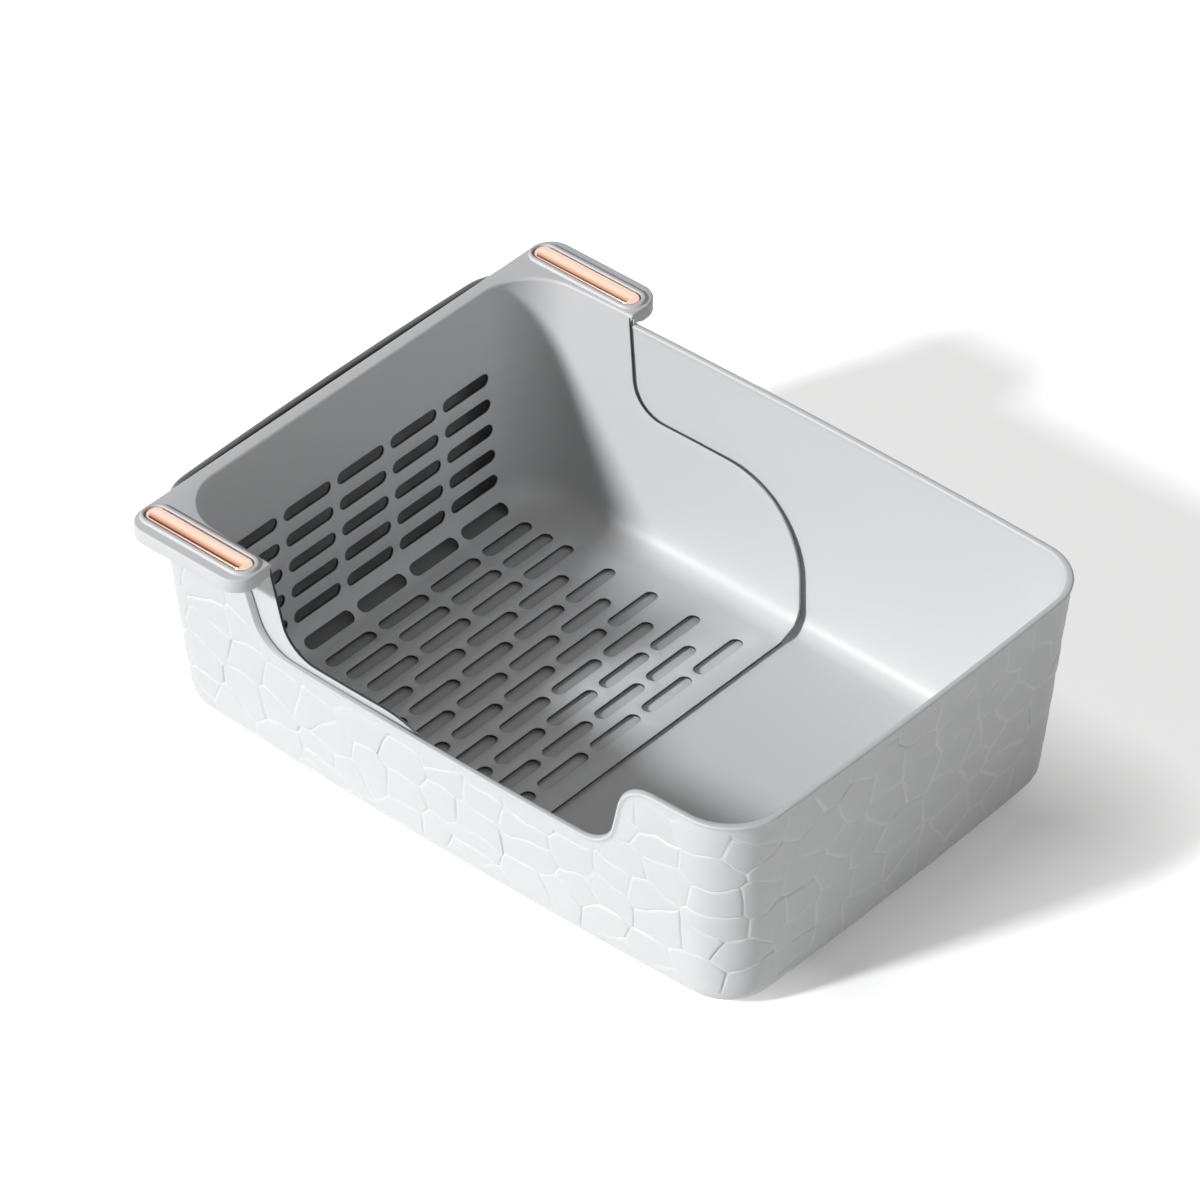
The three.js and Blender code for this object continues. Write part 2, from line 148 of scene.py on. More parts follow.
# %% Nodes from expressions
class Finish:
    """The nodes of a material, or of the surround, made in code."""

    def __init__(self, owner):
        self.owner = owner
        self.owner.use_nodes = True
        self.tree = self.owner.node_tree
        self.tree.nodes.clear()

    def node(self, kind, settings=None, sockets=None, output=0):
        """Adds a node. Settings are set first, then each socket gets a value or a link."""
        made = self.tree.nodes.new(kind)
        for name, value in (settings or {}).items():
            setattr(made, name, value)
        for key, value in (sockets or {}).items():
            if isinstance(value, Sum):
                self.tree.links.new(value.socket, made.inputs[key])
            else:
                made.inputs[key].default_value = value
        return Sum(self, made.outputs[output])

    def mix(self, share, low, high):
        """A colour between two colours."""
        return self.node("ShaderNodeMix", {"data_type": "RGBA"}, {0: share, 6: low, 7: high}, 2)

    def place(self):
        """Where a point lies on the object, in metres."""
        return self.node("ShaderNodeTexCoord", {}, {}, "Object")

    def noise(self, place, **values):
        """Noise at a place, with a Scale, a Detail and perhaps a Roughness."""
        return self.node("ShaderNodeTexNoise", {}, {"Vector": place, **values})

    def bump(self, height, strength, depth):
        """Fine heights that tilt what the surface reflects."""
        return self.node("ShaderNodeBump", {}, {
            "Height": height, "Strength": strength, "Distance": depth})

    def vectors(self, operation, *inputs, output=0):
        """A Vector Math node."""
        sockets = dict(enumerate(inputs))
        return self.node("ShaderNodeVectorMath", {"operation": operation}, sockets, output)

    def surface(self, shader, kind="ShaderNodeOutputMaterial"):
        """Sends a shader to the output, and gives back the finished material or surround."""
        output = self.tree.nodes.new(kind)
        self.tree.links.new(shader.socket, output.inputs["Surface"])
        return self.owner


def finish_of(name):
    """An empty material of a name, ready for its nodes."""
    return Finish(bpy.data.materials.new(name))


print("a finish can make", sorted(name for name in vars(Finish) if name[0] != "_"))

# %% [markdown]
# Floor and light
#
# The ground is white, with a soft grey shadow that falls to the back right. The
# floor is an ordinary pale surface for the object, and is lifted to white for the camera alone, so
# that the lamps can stay low. The lift is smaller near the pan's right end, which paints the
# shadow there deeper: a painted shadow.

# %% Floor
WHITE = (1, 1, 1, 1)
FLOOR_SIZE = 16
FLOOR_COLOUR = (0.9, 0.9, 0.895, 1)
FLOOR_LIFT, FLOOR_LIFT_IN_PAINTED_SHADOW, PAINTED_SHADOW_REACH = 0.62, 0.18, 0.12
PAINTED_SHADOW_MIDDLE, PAINTED_SHADOW_HALF = (0.19, 0.02, 0), (0.08, 0.1, 0)

bpy.context.scene.view_settings.view_transform = "Standard"


def seen_directly(finish):
    """1 where the camera, a mirror or a clear surface looks, and 0 for light that only bounces."""
    path = finish.node("ShaderNodeLightPath")
    outputs = path.socket.node.outputs
    reach = [Sum(finish, outputs[name]) for name in ("Is Glossy Ray", "Is Transmission Ray")]
    return path.math("MAXIMUM", reach[0]).math("MAXIMUM", reach[1])


def make_floor():
    """The white ground: pale paper, with a glow that only the camera and mirrors see, and less glow
    near the pan's right end as a painted shadow.
    """
    bpy.ops.object.select_all(action="DESELECT")
    bpy.ops.mesh.primitive_plane_add(size=FLOOR_SIZE, location=(0, 0, 0))
    plane = bpy.context.object
    plane.name = "floor"
    finish = finish_of("floor_paper")
    paper = finish.node("ShaderNodeBsdfDiffuse", {}, {"Color": FLOOR_COLOUR})
    # Less glow near the pan's right end paints the shadow there deeper.
    apart = finish.vectors("ABSOLUTE", finish.vectors("SUBTRACT", finish.place(), PAINTED_SHADOW_MIDDLE))
    beyond = finish.vectors("MAXIMUM", finish.vectors("SUBTRACT", apart, PAINTED_SHADOW_HALF), (0, 0, 0))
    level = finish.node("ShaderNodeMapRange", {}, {
        "Value": finish.vectors("LENGTH", beyond, output="Value"),
        "From Max": PAINTED_SHADOW_REACH, "To Min": FLOOR_LIFT_IN_PAINTED_SHADOW, "To Max": FLOOR_LIFT})
    strength = seen_directly(finish) * level
    lift = finish.node("ShaderNodeEmission", {}, {"Color": WHITE, "Strength": strength})
    lit_paper = finish.node("ShaderNodeAddShader", {}, {0: paper, 1: lift})
    plane.data.materials.append(finish.surface(lit_paper))
    plane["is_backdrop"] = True


make_floor()
print("floor", FLOOR_SIZE, "m wide")

# %% [markdown]
# The surround
#
# What the key light doesn't reach is lit by a weak surround. The photograph has deep shade inside
# the tray and a brighter end wall, so the surround has a broad glow from the right. Even light all
# round would fill the tray, and a second lamp would throw a second shadow.

# %% Surround
SURROUND_LEVEL, SURROUND_OVERHEAD = 0.15, 0.08
SURROUND_COLOUR = (1, 0.995, 0.985, 1)
GLOW_LEVEL, GLOW_SPREAD, GLOW_FROM = 0.36, 2, Vector((0.95, -0.05, 0.3))


def make_surround():
    """A weak grey sky with a glow from the right, which looks white where it is seen directly."""
    finish = Finish(bpy.data.worlds.new("surround"))
    direction = finish.node("ShaderNodeTexCoord", {}, {}, "Generated")
    height = finish.node("ShaderNodeSeparateXYZ", {}, {"Vector": direction}, "Z")
    level = finish.node("ShaderNodeMapRange", {}, {
        "Value": height, "To Min": SURROUND_LEVEL, "To Max": SURROUND_OVERHEAD})
    facing = finish.vectors("DOT_PRODUCT", direction, GLOW_FROM.normalized(), output="Value")
    glow = facing.math("MAXIMUM", 0).math("POWER", GLOW_SPREAD) * GLOW_LEVEL
    strength = glow + level
    light = finish.node("ShaderNodeBackground", {}, {"Color": SURROUND_COLOUR, "Strength": strength})
    white = finish.node("ShaderNodeBackground", {}, {"Color": WHITE})
    shown = finish.node("ShaderNodeMixShader", {}, {0: seen_directly(finish), 1: light, 2: white})
    bpy.context.scene.world = finish.surface(shown, "ShaderNodeOutputWorld")


make_surround()
print("surround", SURROUND_LEVEL, "with a glow of", GLOW_LEVEL)

# %% [markdown]
# The card
#
# The bars need something to mirror: in the photograph they run from almost white to dark brown. A
# card high on the left has those colours, and only reflections see it. A lamp in its place would
# also light the plastic.

# %% Card
CARD_MIDDLE, CARD_SIZE = (-2.2, 0, 3), (3.4, 7.2)
CARD_WHITE_Y, CARD_WARM_Y, CARD_DARK_Y = 1.4, -1.0, -1.6
CARD_WHITE = (1.15, 1.15, 1.15, 1)
CARD_WARM = (0.64, 0.4, 0.28, 1)
CARD_DARK = (0.12, 0.05, 0.03, 1)


def make_card():
    """A card overhead that only reflections show. It runs from white to brown, as the bars do."""
    bpy.ops.object.select_all(action="DESELECT")
    bpy.ops.mesh.primitive_plane_add(size=1, location=CARD_MIDDLE)
    card = bpy.context.object
    card.name = "flag"
    card.scale = (*CARD_SIZE, 1)
    bpy.ops.object.transform_apply(location=False, rotation=False, scale=True)
    finish = finish_of("flag_fade")
    along = finish.node("ShaderNodeSeparateXYZ", {}, {"Vector": finish.place()}, "Y")
    warmth, darkness = (
        finish.node("ShaderNodeMapRange", {}, {"Value": along, "From Min": start, "From Max": end})
        for start, end in ((CARD_WHITE_Y, CARD_WARM_Y), (CARD_WARM_Y, CARD_DARK_Y)))
    colour = finish.mix(darkness, finish.mix(warmth, CARD_WHITE, CARD_WARM), CARD_DARK)
    fade = finish.node("ShaderNodeEmission", {}, {"Color": colour})
    card.data.materials.append(finish.surface(fade))
    card.visible_camera = card.visible_diffuse = False
    card.visible_shadow = card.visible_transmission = False
    card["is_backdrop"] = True


make_card()
print("card of", CARD_SIZE, "m at a height of", CARD_MIDDLE[2], "m")

# %% [markdown]
# The key light
#
# The edges of the shadows give the key light's direction: it comes from the front left, a little
# under a third of the way up. It is a sun with some width, so that the shadows are soft.

# %% Key light
KEY_TRAVEL = Vector((0.655, 1.7, -1))
KEY_STRENGTH = 3.45
KEY_ANGLE = math.radians(7)
KEY_COLOUR = (0.985, 0.992, 1)


def make_key():
    """The one lamp that throws the shadows."""
    lamp = bpy.data.lights.new("key", "SUN")
    lamp.energy = KEY_STRENGTH
    lamp.angle = KEY_ANGLE
    lamp.color = KEY_COLOUR
    key = bpy.data.objects.new("key", lamp)
    key.rotation_euler = (-KEY_TRAVEL).to_track_quat("Z", "Y").to_euler()
    bpy.context.scene.collection.objects.link(key)


make_key()
print("key light travels along", [round(c, 2) for c in KEY_TRAVEL], "at", KEY_STRENGTH)

# %% [markdown]
# The plastic
#
# Both mouldings are pale grey polypropylene with a satin surface: the mould is polished but not
# mirror bright, so it blurs what it reflects. A flat grey looks like card. The surface needs a
# reflection of uneven sharpness and a swell far finer than a millimetre, both from noise.
#
# The slots and the tray's edge should look almost black, and the grooves between the stones a
# little pale. So each point of the mesh carries a number, its tone, which paints light and shade into
# the colour: the plastic gets painted shade where it is below 0 and a painted highlight where it is
# above.

# %% Plastic
# The pale colour is a painted highlight and the near black one a painted shade, mixed in by the mesh's
# tone.
PLASTIC, PAINTED_HIGHLIGHT = (0.6, 0.605, 0.613, 1), (0.74, 0.74, 0.74, 1)
PAINTED_SHADE = (0.02, 0.022, 0.023, 1)
PLASTIC_ROUGHNESS, PLASTIC_ROUGHNESS_RANGE, PLASTIC_IOR = 0.45, 0.1, 1.49
CLOUD = {"Scale": 9, "Detail": 3, "Roughness": 0.55}
ORANGE_PEEL = {"Scale": 260, "Detail": 2}
PEEL_STRENGTH, PEEL_DEPTH = 0.35, 0.00002
TONE = "tone"


def plastic(name):
    """Satin moulded plastic: uneven gloss, a faint orange peel, and painted shade and highlight from
    the mesh's tone.
    """
    finish = finish_of(name)
    place = finish.place()
    cloud = finish.noise(place, **CLOUD)
    peel = finish.bump(finish.noise(place, **ORANGE_PEEL), PEEL_STRENGTH, PEEL_DEPTH)
    rough = cloud * PLASTIC_ROUGHNESS_RANGE + (PLASTIC_ROUGHNESS - PLASTIC_ROUGHNESS_RANGE / 2)
    tone = finish.node("ShaderNodeAttribute", {"attribute_name": TONE}, {}, "Fac")
    # A tone above 0 mixes in a painted highlight, a tone below 0 a painted shade.
    paler = finish.mix(tone.math("MAXIMUM", 0), PLASTIC, PAINTED_HIGHLIGHT)
    colour = finish.mix((tone * -1).math("MAXIMUM", 0), paler, PAINTED_SHADE)
    return finish.surface(finish.node("ShaderNodeBsdfPrincipled", {}, {
        "Base Color": colour, "Roughness": rough, "IOR": PLASTIC_IOR, "Normal": peel}))


pan_plastic = plastic("pan_plastic")
tray_plastic = plastic("tray_plastic")
print("plastics:", pan_plastic.name, "and", tray_plastic.name)

# %% [markdown]
# The rose gold
#
# The bars are plated metal, brushed along their length. Noise that is stretched along the bar
# draws the brush lines. They change how sharply the metal mirrors, and are too fine to count.

# %% Rose gold
ROSE_GOLD = (0.95, 0.68, 0.55, 1)
BRUSH_STRETCH = (30, 2600, 2600)
BRUSH_STRENGTH, BRUSH_DEPTH = 0.1, 0.00001
METAL_ROUGHNESS, METAL_ROUGHNESS_RANGE = 0.1, 0.08


def rose_gold(name):
    """Plated metal, brushed along its length."""
    finish = finish_of(name)
    stretched = finish.node("ShaderNodeMapping", {}, {"Vector": finish.place(), "Scale": BRUSH_STRETCH})
    grain = finish.noise(stretched, Scale=1, Detail=2)
    return finish.surface(finish.node("ShaderNodeBsdfPrincipled", {}, {
        "Base Color": ROSE_GOLD, "Metallic": 1,
        "Roughness": grain * METAL_ROUGHNESS_RANGE + METAL_ROUGHNESS,
        "Normal": finish.bump(grain, BRUSH_STRENGTH, BRUSH_DEPTH)}))


rose_metal = rose_gold("rose_metal")
print("metal:", rose_metal.name)

# %% [markdown]
# The rubber
#
# The pads are soft grey rubber, dull and a little grainy, so that they hold on a smooth floor. One
# fine noise does both jobs: it varies the dullness and raises the grain.

# %% Rubber
RUBBER = (0.16, 0.165, 0.17, 1)
RUBBER_GRAIN = {"Scale": 900, "Detail": 3}
GRAIN_STRENGTH, GRAIN_DEPTH = 0.5, 0.00006
RUBBER_ROUGHNESS, RUBBER_ROUGHNESS_RANGE = 0.65, 0.2


def rubber(name):
    """Grey rubber with a dull, grainy surface."""
    finish = finish_of(name)
    grain = finish.noise(finish.place(), **RUBBER_GRAIN)
    return finish.surface(finish.node("ShaderNodeBsdfPrincipled", {}, {
        "Base Color": RUBBER, "Roughness": grain * RUBBER_ROUGHNESS_RANGE + RUBBER_ROUGHNESS,
        "Normal": finish.bump(grain, GRAIN_STRENGTH, GRAIN_DEPTH)}))


pad_rubber = rubber("pad_rubber")
print("rubber:", pad_rubber.name)

# %% [markdown]
# The pan's walls as a map
#
# The outside of the pan carries a relief of flat stones with thin grooves between them. Such a
# relief needs the grooves to lie along edges of the mesh, on a wall that leans, bows and turns
# round corners, and no primitive gives that. So the wall is a map: how far along the outline, and
# how far up the wall, gives a point. The relief is drawn flat and then laid on the wall.

# %% The pan's outline
PAN_LENGTH, PAN_WIDTH, PAN_HEIGHT = 536, 380, 176
END_BOW, SIDE_BOW = 3.4, 5.4
CORNER_RADIUS, CORNER_DRAFT, FOOT_TUCK = 40, 0.3, 0.85
LEFT_LOSS, LEFT_LOSS_TOP, LEFT_LOSS_RUN, LEFT_FOOT_TUCK = 13, 171, 8, -0.1
LIP_PROUD, DRAFT = 1.9, 0.0787
PAN_WALL, BASE_Z, FLOOR_TOP = 3.2, 1.2, 3.6
FOOT_RADIUS, INNER_FILLET = 20, 17.5
ARC, LEFT_ARC = 59.1, 38.6
SIDE_RUN, RIGHT_RUN, LEFT_RUN = 451.2, 278.2, 304.2
RUNS = np.array([ARC, SIDE_RUN, LEFT_ARC, LEFT_RUN, LEFT_ARC, SIDE_RUN, ARC, RIGHT_RUN])
MARKS = np.concatenate([[0], np.cumsum(RUNS)])
ROUND = MARKS[-1]
FRONT_START = MARKS[5]


def outline_point(u, half_length, half_width, radius, left_radius):
    """Where a distance along the outline lies, for each of many outlines."""
    u = np.mod(u, ROUND)
    part = np.clip(np.searchsorted(MARKS, u, side="right") - 1, 0, 7)
    share = (u - MARKS[part]) / RUNS[part]
    quadrant = part // 2
    reach_x, reach_y = half_length - END_BOW, half_width - SIDE_BOW
    sign_x, sign_y = np.array([1, -1, -1, 1]), np.array([1, 1, -1, -1])

    def arc_end(q, angle):
        bend = np.where(sign_x[q] > 0, radius, left_radius)
        x = sign_x[q] * (reach_x - bend) + bend * np.cos(angle)
        y = sign_y[q] * (reach_y - bend) + bend * np.sin(angle)
        return x, y

    quarter = math.pi / 2
    arc_x, arc_y = arc_end(quadrant, (quadrant + share) * quarter)
    from_x, from_y = arc_end(quadrant, (quadrant + 1) * quarter)
    to_x, to_y = arc_end((quadrant + 1) % 4, (quadrant + 1) * quarter)
    on_arc = part % 2 == 0
    x = np.where(on_arc, arc_x, from_x + (to_x - from_x) * share)
    y = np.where(on_arc, arc_y, from_y + (to_y - from_y) * share)
    bowed_x = x + np.sign(x) * END_BOW * np.maximum(0, 1 - (y / reach_y) ** 2)
    bowed_y = y + np.sign(y) * SIDE_BOW * np.maximum(0, 1 - (x / reach_x) ** 2)
    return bowed_x, bowed_y


print("outline", round(float(ROUND)), "mm round")

# %% [markdown]
# The wall's section
#
# Every wall of the pan leans out a little, so that the moulding leaves its mould. The corners get
# wider towards the rim, and the wall turns into the base through a round foot. The two left corners
# are tighter below the rim. One formula gives all of that for any skin: the outside, and the inside
# a wall's thickness further in.

# %% The wall's section
def wall_point(u, v, bottom, fillet, extra):
    """A point on a skin of the pan: u along the outline, v up from where the foot leaves the base."""
    u, v = np.broadcast_arrays(np.asarray(u, float), np.asarray(v, float))
    bend = fillet * math.pi / 2
    angle = np.clip(v / fillet, 0, math.pi / 2)
    centre_z = bottom + fillet
    z = np.where(v < bend, centre_z - fillet * np.cos(angle), centre_z + v - bend)
    wall_z = np.maximum(z, centre_z)
    tuck = fillet * (1 - np.sin(angle))
    inset = LIP_PROUD + (PAN_HEIGHT - wall_z) * DRAFT + extra + tuck
    radius = CORNER_RADIUS - (inset - tuck) * CORNER_DRAFT - tuck * FOOT_TUCK
    left_loss = LEFT_LOSS * np.clip((LEFT_LOSS_TOP - z) / LEFT_LOSS_RUN, 0, 1)
    left_radius = radius - left_loss + tuck * (FOOT_TUCK - LEFT_FOOT_TUCK)
    x, y = outline_point(u, PAN_LENGTH / 2 - inset, PAN_WIDTH / 2 - inset, radius, left_radius)
    return np.stack([x, y, z], -1)


def outer_point(u, v):
    """A point on the outside of the pan, before the relief."""
    return wall_point(u, v, BASE_Z, FOOT_RADIUS, 0)


def outer_normal(u, v, step=0.5):
    """Points out of the wall, from two short steps along it."""
    along = outer_point(u + step, v) - outer_point(u - step, v)
    up = outer_point(u, v + step) - outer_point(u, np.maximum(v - step, 0))
    normal = np.cross(along, up)
    return normal / np.linalg.norm(normal, axis=-1, keepdims=True)


FOOT_BEND = FOOT_RADIUS * math.pi / 2
INNER_BEND = INNER_FILLET * math.pi / 2
RIM_V = PAN_HEIGHT - BASE_Z - FOOT_RADIUS + FOOT_BEND


def height_of(v):
    """Height of a place on the straight part of the outer wall."""
    return v - FOOT_BEND + BASE_Z + FOOT_RADIUS


def inner_v(v):
    """The inner skin's measure at the height of an outer place."""
    return height_of(v) - FLOOR_TOP - INNER_FILLET + INNER_BEND


print("wall", round(RIM_V), "mm up from the foot")

# %% [markdown]
# Lines with rounded corners
#
# The low entry, the tray's edge and the grips are all drawn the same way: straight runs between a
# few corners, each rounded with its own radius. A curve object could do it, but here the points
# themselves are needed, at even steps, as stations for the mesh.

# %% Rounded and evenly spaced lines
def rounded_line(corners, step):
    """A line through corners (x, y, radius) with each corner rounded."""
    points = []
    for i, (x, y, radius) in enumerate(corners):
        here = Vector((x, y))
        if radius == 0:
            points.append(here)
            continue
        back = (Vector(corners[i - 1][:2]) - here).normalized()
        on = (Vector(corners[(i + 1) % len(corners)][:2]) - here).normalized()
        half = math.acos(max(-1, min(1, back.dot(on)))) / 2
        centre = here + (back + on).normalized() * (radius / math.sin(half))
        start = here + back * (radius / math.tan(half)) - centre
        sweep = (math.pi - 2 * half) * (1 if on.cross(back) > 0 else -1)
        count = max(2, round(abs(sweep) * radius / step))
        for k in range(count + 1):
            turned = Matrix.Rotation(sweep * k / count, 2) @ start
            points.append(centre + turned)
    return points


def spaced(points, step, closed=False):
    """The same line with points at even steps between its corners."""
    points = [np.array(p, float) for p in points]
    pairs = zip(points, points[1:] + points[:1]) if closed else zip(points, points[1:])
    out = []
    for a, b in pairs:
        count = max(1, math.ceil(np.linalg.norm(b - a) / step - 1e-6))
        out += [a + (b - a) * k / count for k in range(count)]
    if not closed:
        out.append(points[-1])
    return np.array(out)


one_corner = rounded_line([(0, 0, 0), (20, 0, 5), (20, 20, 0)], 2)
print("a corner of 5 mm, rounded:", len(one_corner), "points")

# %% [markdown]
# The edge of the wall
#
# The wall ends in a rolled bead all the way round. It runs along the rim, drops into the low entry
# at the front, where the cat steps in, and climbs back. It is one closed line on the wall's map.

# %% The line of the rim and the low entry
ENTRY_HEIGHT, ENTRY_WIDTH, ENTRY_OFFSET, ENTRY_LEAN = 106, 307.5, -3.75, 18
ENTRY_FOOT_RADIUS, ENTRY_TOP_RADIUS = 30, 32
ENTRY_STEP, RIM_STEP, CORNER_STEP = 3, 9, 3


def front_u(x, z):
    """The outline distance of a place x on the front wall, at a height."""
    inset = LIP_PROUD + (PAN_HEIGHT - z) * DRAFT
    radius = CORNER_RADIUS - inset * CORNER_DRAFT
    left_radius = radius - LEFT_LOSS * np.clip((LEFT_LOSS_TOP - z) / LEFT_LOSS_RUN, 0, 1)
    reach = PAN_LENGTH / 2 - inset - END_BOW
    return FRONT_START + (x + reach - left_radius) / (2 * reach - radius - left_radius) * SIDE_RUN


def is_corner(a, b):
    """Whether a stretch of the outline is one of its corners."""
    return min(abs(b - a - ARC), abs(b - a - LEFT_ARC)) < 1


def edge_line():
    """The bead's line on the map, once round from the middle of the back wall."""
    left, right = ENTRY_OFFSET - ENTRY_WIDTH / 2, ENTRY_OFFSET + ENTRY_WIDTH / 2
    beyond = ENTRY_LEAN + ENTRY_TOP_RADIUS
    corners = [
        (left - beyond, PAN_HEIGHT, 0),
        (left - ENTRY_LEAN, PAN_HEIGHT, ENTRY_TOP_RADIUS),
        (left, ENTRY_HEIGHT, ENTRY_FOOT_RADIUS),
        (right, ENTRY_HEIGHT, ENTRY_FOOT_RADIUS),
        (right + ENTRY_LEAN, PAN_HEIGHT, ENTRY_TOP_RADIUS),
        (right + beyond, PAN_HEIGHT, 0),
    ]
    entry = spaced(rounded_line(corners, ENTRY_STEP), ENTRY_STEP * 2)
    entry_u = front_u(entry[:, 0], entry[:, 1])
    entry_v = entry[:, 1] - PAN_HEIGHT + RIM_V
    start = (MARKS[1] + MARKS[2]) / 2
    before = [start, MARKS[2], MARKS[3], MARKS[4], MARKS[5], entry_u[0]]
    after = [entry_u[-1], MARKS[6], MARKS[7], MARKS[8], MARKS[8] + ARC, start + ROUND]

    def rim(stops):
        us = []
        for a, b in zip(stops, stops[1:]):
            count = max(1, math.ceil((b - a) / (CORNER_STEP if is_corner(a, b) else RIM_STEP)))
            us += [a + (b - a) * k / count for k in range(count)]
        return us

    first, last = rim(before), rim(after)[1:]
    u = np.concatenate([first, entry_u, last])
    v = np.concatenate([np.full(len(first), RIM_V), entry_v, np.full(len(last), RIM_V)])
    return np.stack([u, v], -1)


edge = edge_line()
following = np.roll(edge, -1, 0)
following[-1, 0] += ROUND
previous = np.roll(edge, 1, 0)
previous[0, 0] -= ROUND
tangent = following - previous
tangent /= np.linalg.norm(tangent, axis=1, keepdims=True)
INTO_WALL = np.stack([tangent[:, 1], -tangent[:, 0]], -1)
lowest = round(float(height_of(edge[:, 1].min())), 1)
print("the bead has", len(edge), "stations, lowest at", lowest, "mm")

# %% [markdown]
# The stones
#
# Seen close, the relief is irregular stones of five or six sides, wider than they are high. Each is
# nearly flat and leans its own way, so a shared edge is a step on one side and a groove on the
# other. A Voronoi pattern is the common way to draw this: every point belongs to its nearest seed.
# The seeds are scattered in loose rows, and the pattern is squeezed so that stones lie down.

# %% Seeds of the stones
STONE_LENGTH, STONE_HEIGHT = 37, 26
STONE_LOOSENESS = 0.36
SQUEEZE = np.array([1, 1.2])
STONE_RISE, STONE_TILT = 0.45, 0.02
STONE_SEED = 11
SLIVER_CHANCE, SLIVER_STEP = 0.08, 11
SWAY, SWAY_SHARES, UNWARP_ROUNDS = 1.8, 1.5, 5
SWAY_ALONG = [(31, 1.3, 0.045, 1), (57, 4, -0.11, 0.5)]
SWAY_UP = [(43, 0.4, -0.06, 1), (71, 2, 0.1, 0.5)]


def scatter_seeds():
    """Seeds in loose rows, repeated so that the pattern closes round the pan."""
    rng = np.random.default_rng(STONE_SEED)
    per_row = round(ROUND / STONE_LENGTH)
    rows = math.ceil((RIM_V + 2 * STONE_HEIGHT) / STONE_HEIGHT)
    seeds = []
    for row in range(rows):
        shift = rng.uniform(0, 1)
        for i in range(per_row):
            u = (i + shift + rng.uniform(-STONE_LOOSENESS, STONE_LOOSENESS)) * ROUND / per_row
            v = (row - 0.5 + rng.uniform(-STONE_LOOSENESS, STONE_LOOSENESS)) * STONE_HEIGHT
            seeds.append((u % ROUND, v))
            if rng.uniform() < SLIVER_CHANCE:
                turn = rng.uniform(0, math.tau)
                near_u = (u + SLIVER_STEP * math.cos(turn)) % ROUND
                seeds.append((near_u, v + SLIVER_STEP * math.sin(turn)))
    seeds = np.array(seeds)
    rise = rng.uniform(0, STONE_RISE, len(seeds))
    tilt = rng.uniform(-STONE_TILT, STONE_TILT, (len(seeds), 2))
    return seeds, rise, tilt


seeds, rise, tilt = scatter_seeds()
laps = [-ROUND, 0, ROUND]
all_seeds = np.concatenate([seeds + [lap, 0] for lap in laps])
all_rise, all_tilt = np.tile(rise, 3), np.tile(tilt, (3, 1))
print(len(seeds), "stones")


def waves(p, parts):
    """A sum of waves, each with its count per lap, start, lean and share."""
    lap = p[:, 0] * math.tau / ROUND
    return sum(
        share * np.sin(count * lap + start + p[:, 1] * lean)
        for count, start, lean, share in parts)


def warp(p):
    """A gentle sway of the pattern, so that no groove is quite straight. It repeats every lap."""
    return np.stack([waves(p, SWAY_ALONG), waves(p, SWAY_UP)], -1) * SWAY / SWAY_SHARES


def unwarp(q):
    """Where a place on the wall lies in the pattern before it sways."""
    p = q.copy()
    for _ in range(UNWARP_ROUNDS):
        p = q - warp(p)
    return p


# %% [markdown]
# The shape of a stone
#
# A stone's outline is what is left of a big square after a cut halfway to each of its neighbours.
# The same cuts, moved in a little, give the line where the groove's flank ends. They become edges
# of the mesh later, so that each groove is crisp.

# %% Outlines of the stones
NEIGHBOURS, SQUARE_HALF = 21, 120


def clip(polygon, normal, limit):
    """The part of a polygon on one side of a line."""
    kept = []
    for i, here in enumerate(polygon):
        before = polygon[i - 1]
        inside, was_inside = here @ normal <= limit, before @ normal <= limit
        if inside != was_inside:
            share = (limit - before @ normal) / ((here - before) @ normal)
            kept.append(before + (here - before) * share)
        if inside:
            kept.append(here)
    return kept


def stone_outline(i, shrink):
    """The outline of a stone, drawn in all round by a distance."""
    here = all_seeds[i]
    near = np.argsort((((all_seeds - here) * SQUEEZE) ** 2).sum(1))[1:NEIGHBOURS + 1]
    polygon = [here + SQUARE_HALF * np.array(corner) for corner in ((-1, -1), (1, -1), (1, 1), (-1, 1))]
    for j in near:
        normal = (all_seeds[j] - here) * SQUEEZE**2
        limit = (((all_seeds[j] * SQUEEZE) ** 2).sum() - ((here * SQUEEZE) ** 2).sum()) / 2
        length = np.linalg.norm(normal)
        polygon = clip(polygon, normal / length, limit / length - shrink)
        if len(polygon) < 3:
            return []
    return polygon


sides = [len(stone_outline(len(seeds) + i, 0)) for i in range(len(seeds))]
print("a stone has", round(float(np.mean(sides)), 1), "sides on average")

# %% [markdown]
# The height of the relief
#
# The height is worked out apart from the outlines, at any place of the map. The nearest seed says
# which stone the place is on, and the second nearest says how far away the groove is. A stone rises
# a little from its shoulder to its middle, like a pillow. The places are taken in blocks, so that
# the table of distances to all the seeds stays small.

# %% Heights of the stones
GROOVE_DEPTH, GROOVE_HALF, GROOVE_EASE = 0.6, 1.0, 2.4
SHOULDER_SHARE = 0.12
PILLOW, PILLOW_REACH = 0.35, 6
# How far from a groove's middle the painted highlight reaches.
GROOVE_HIGHLIGHT_REACH = 1.6
BLOCK = 4000


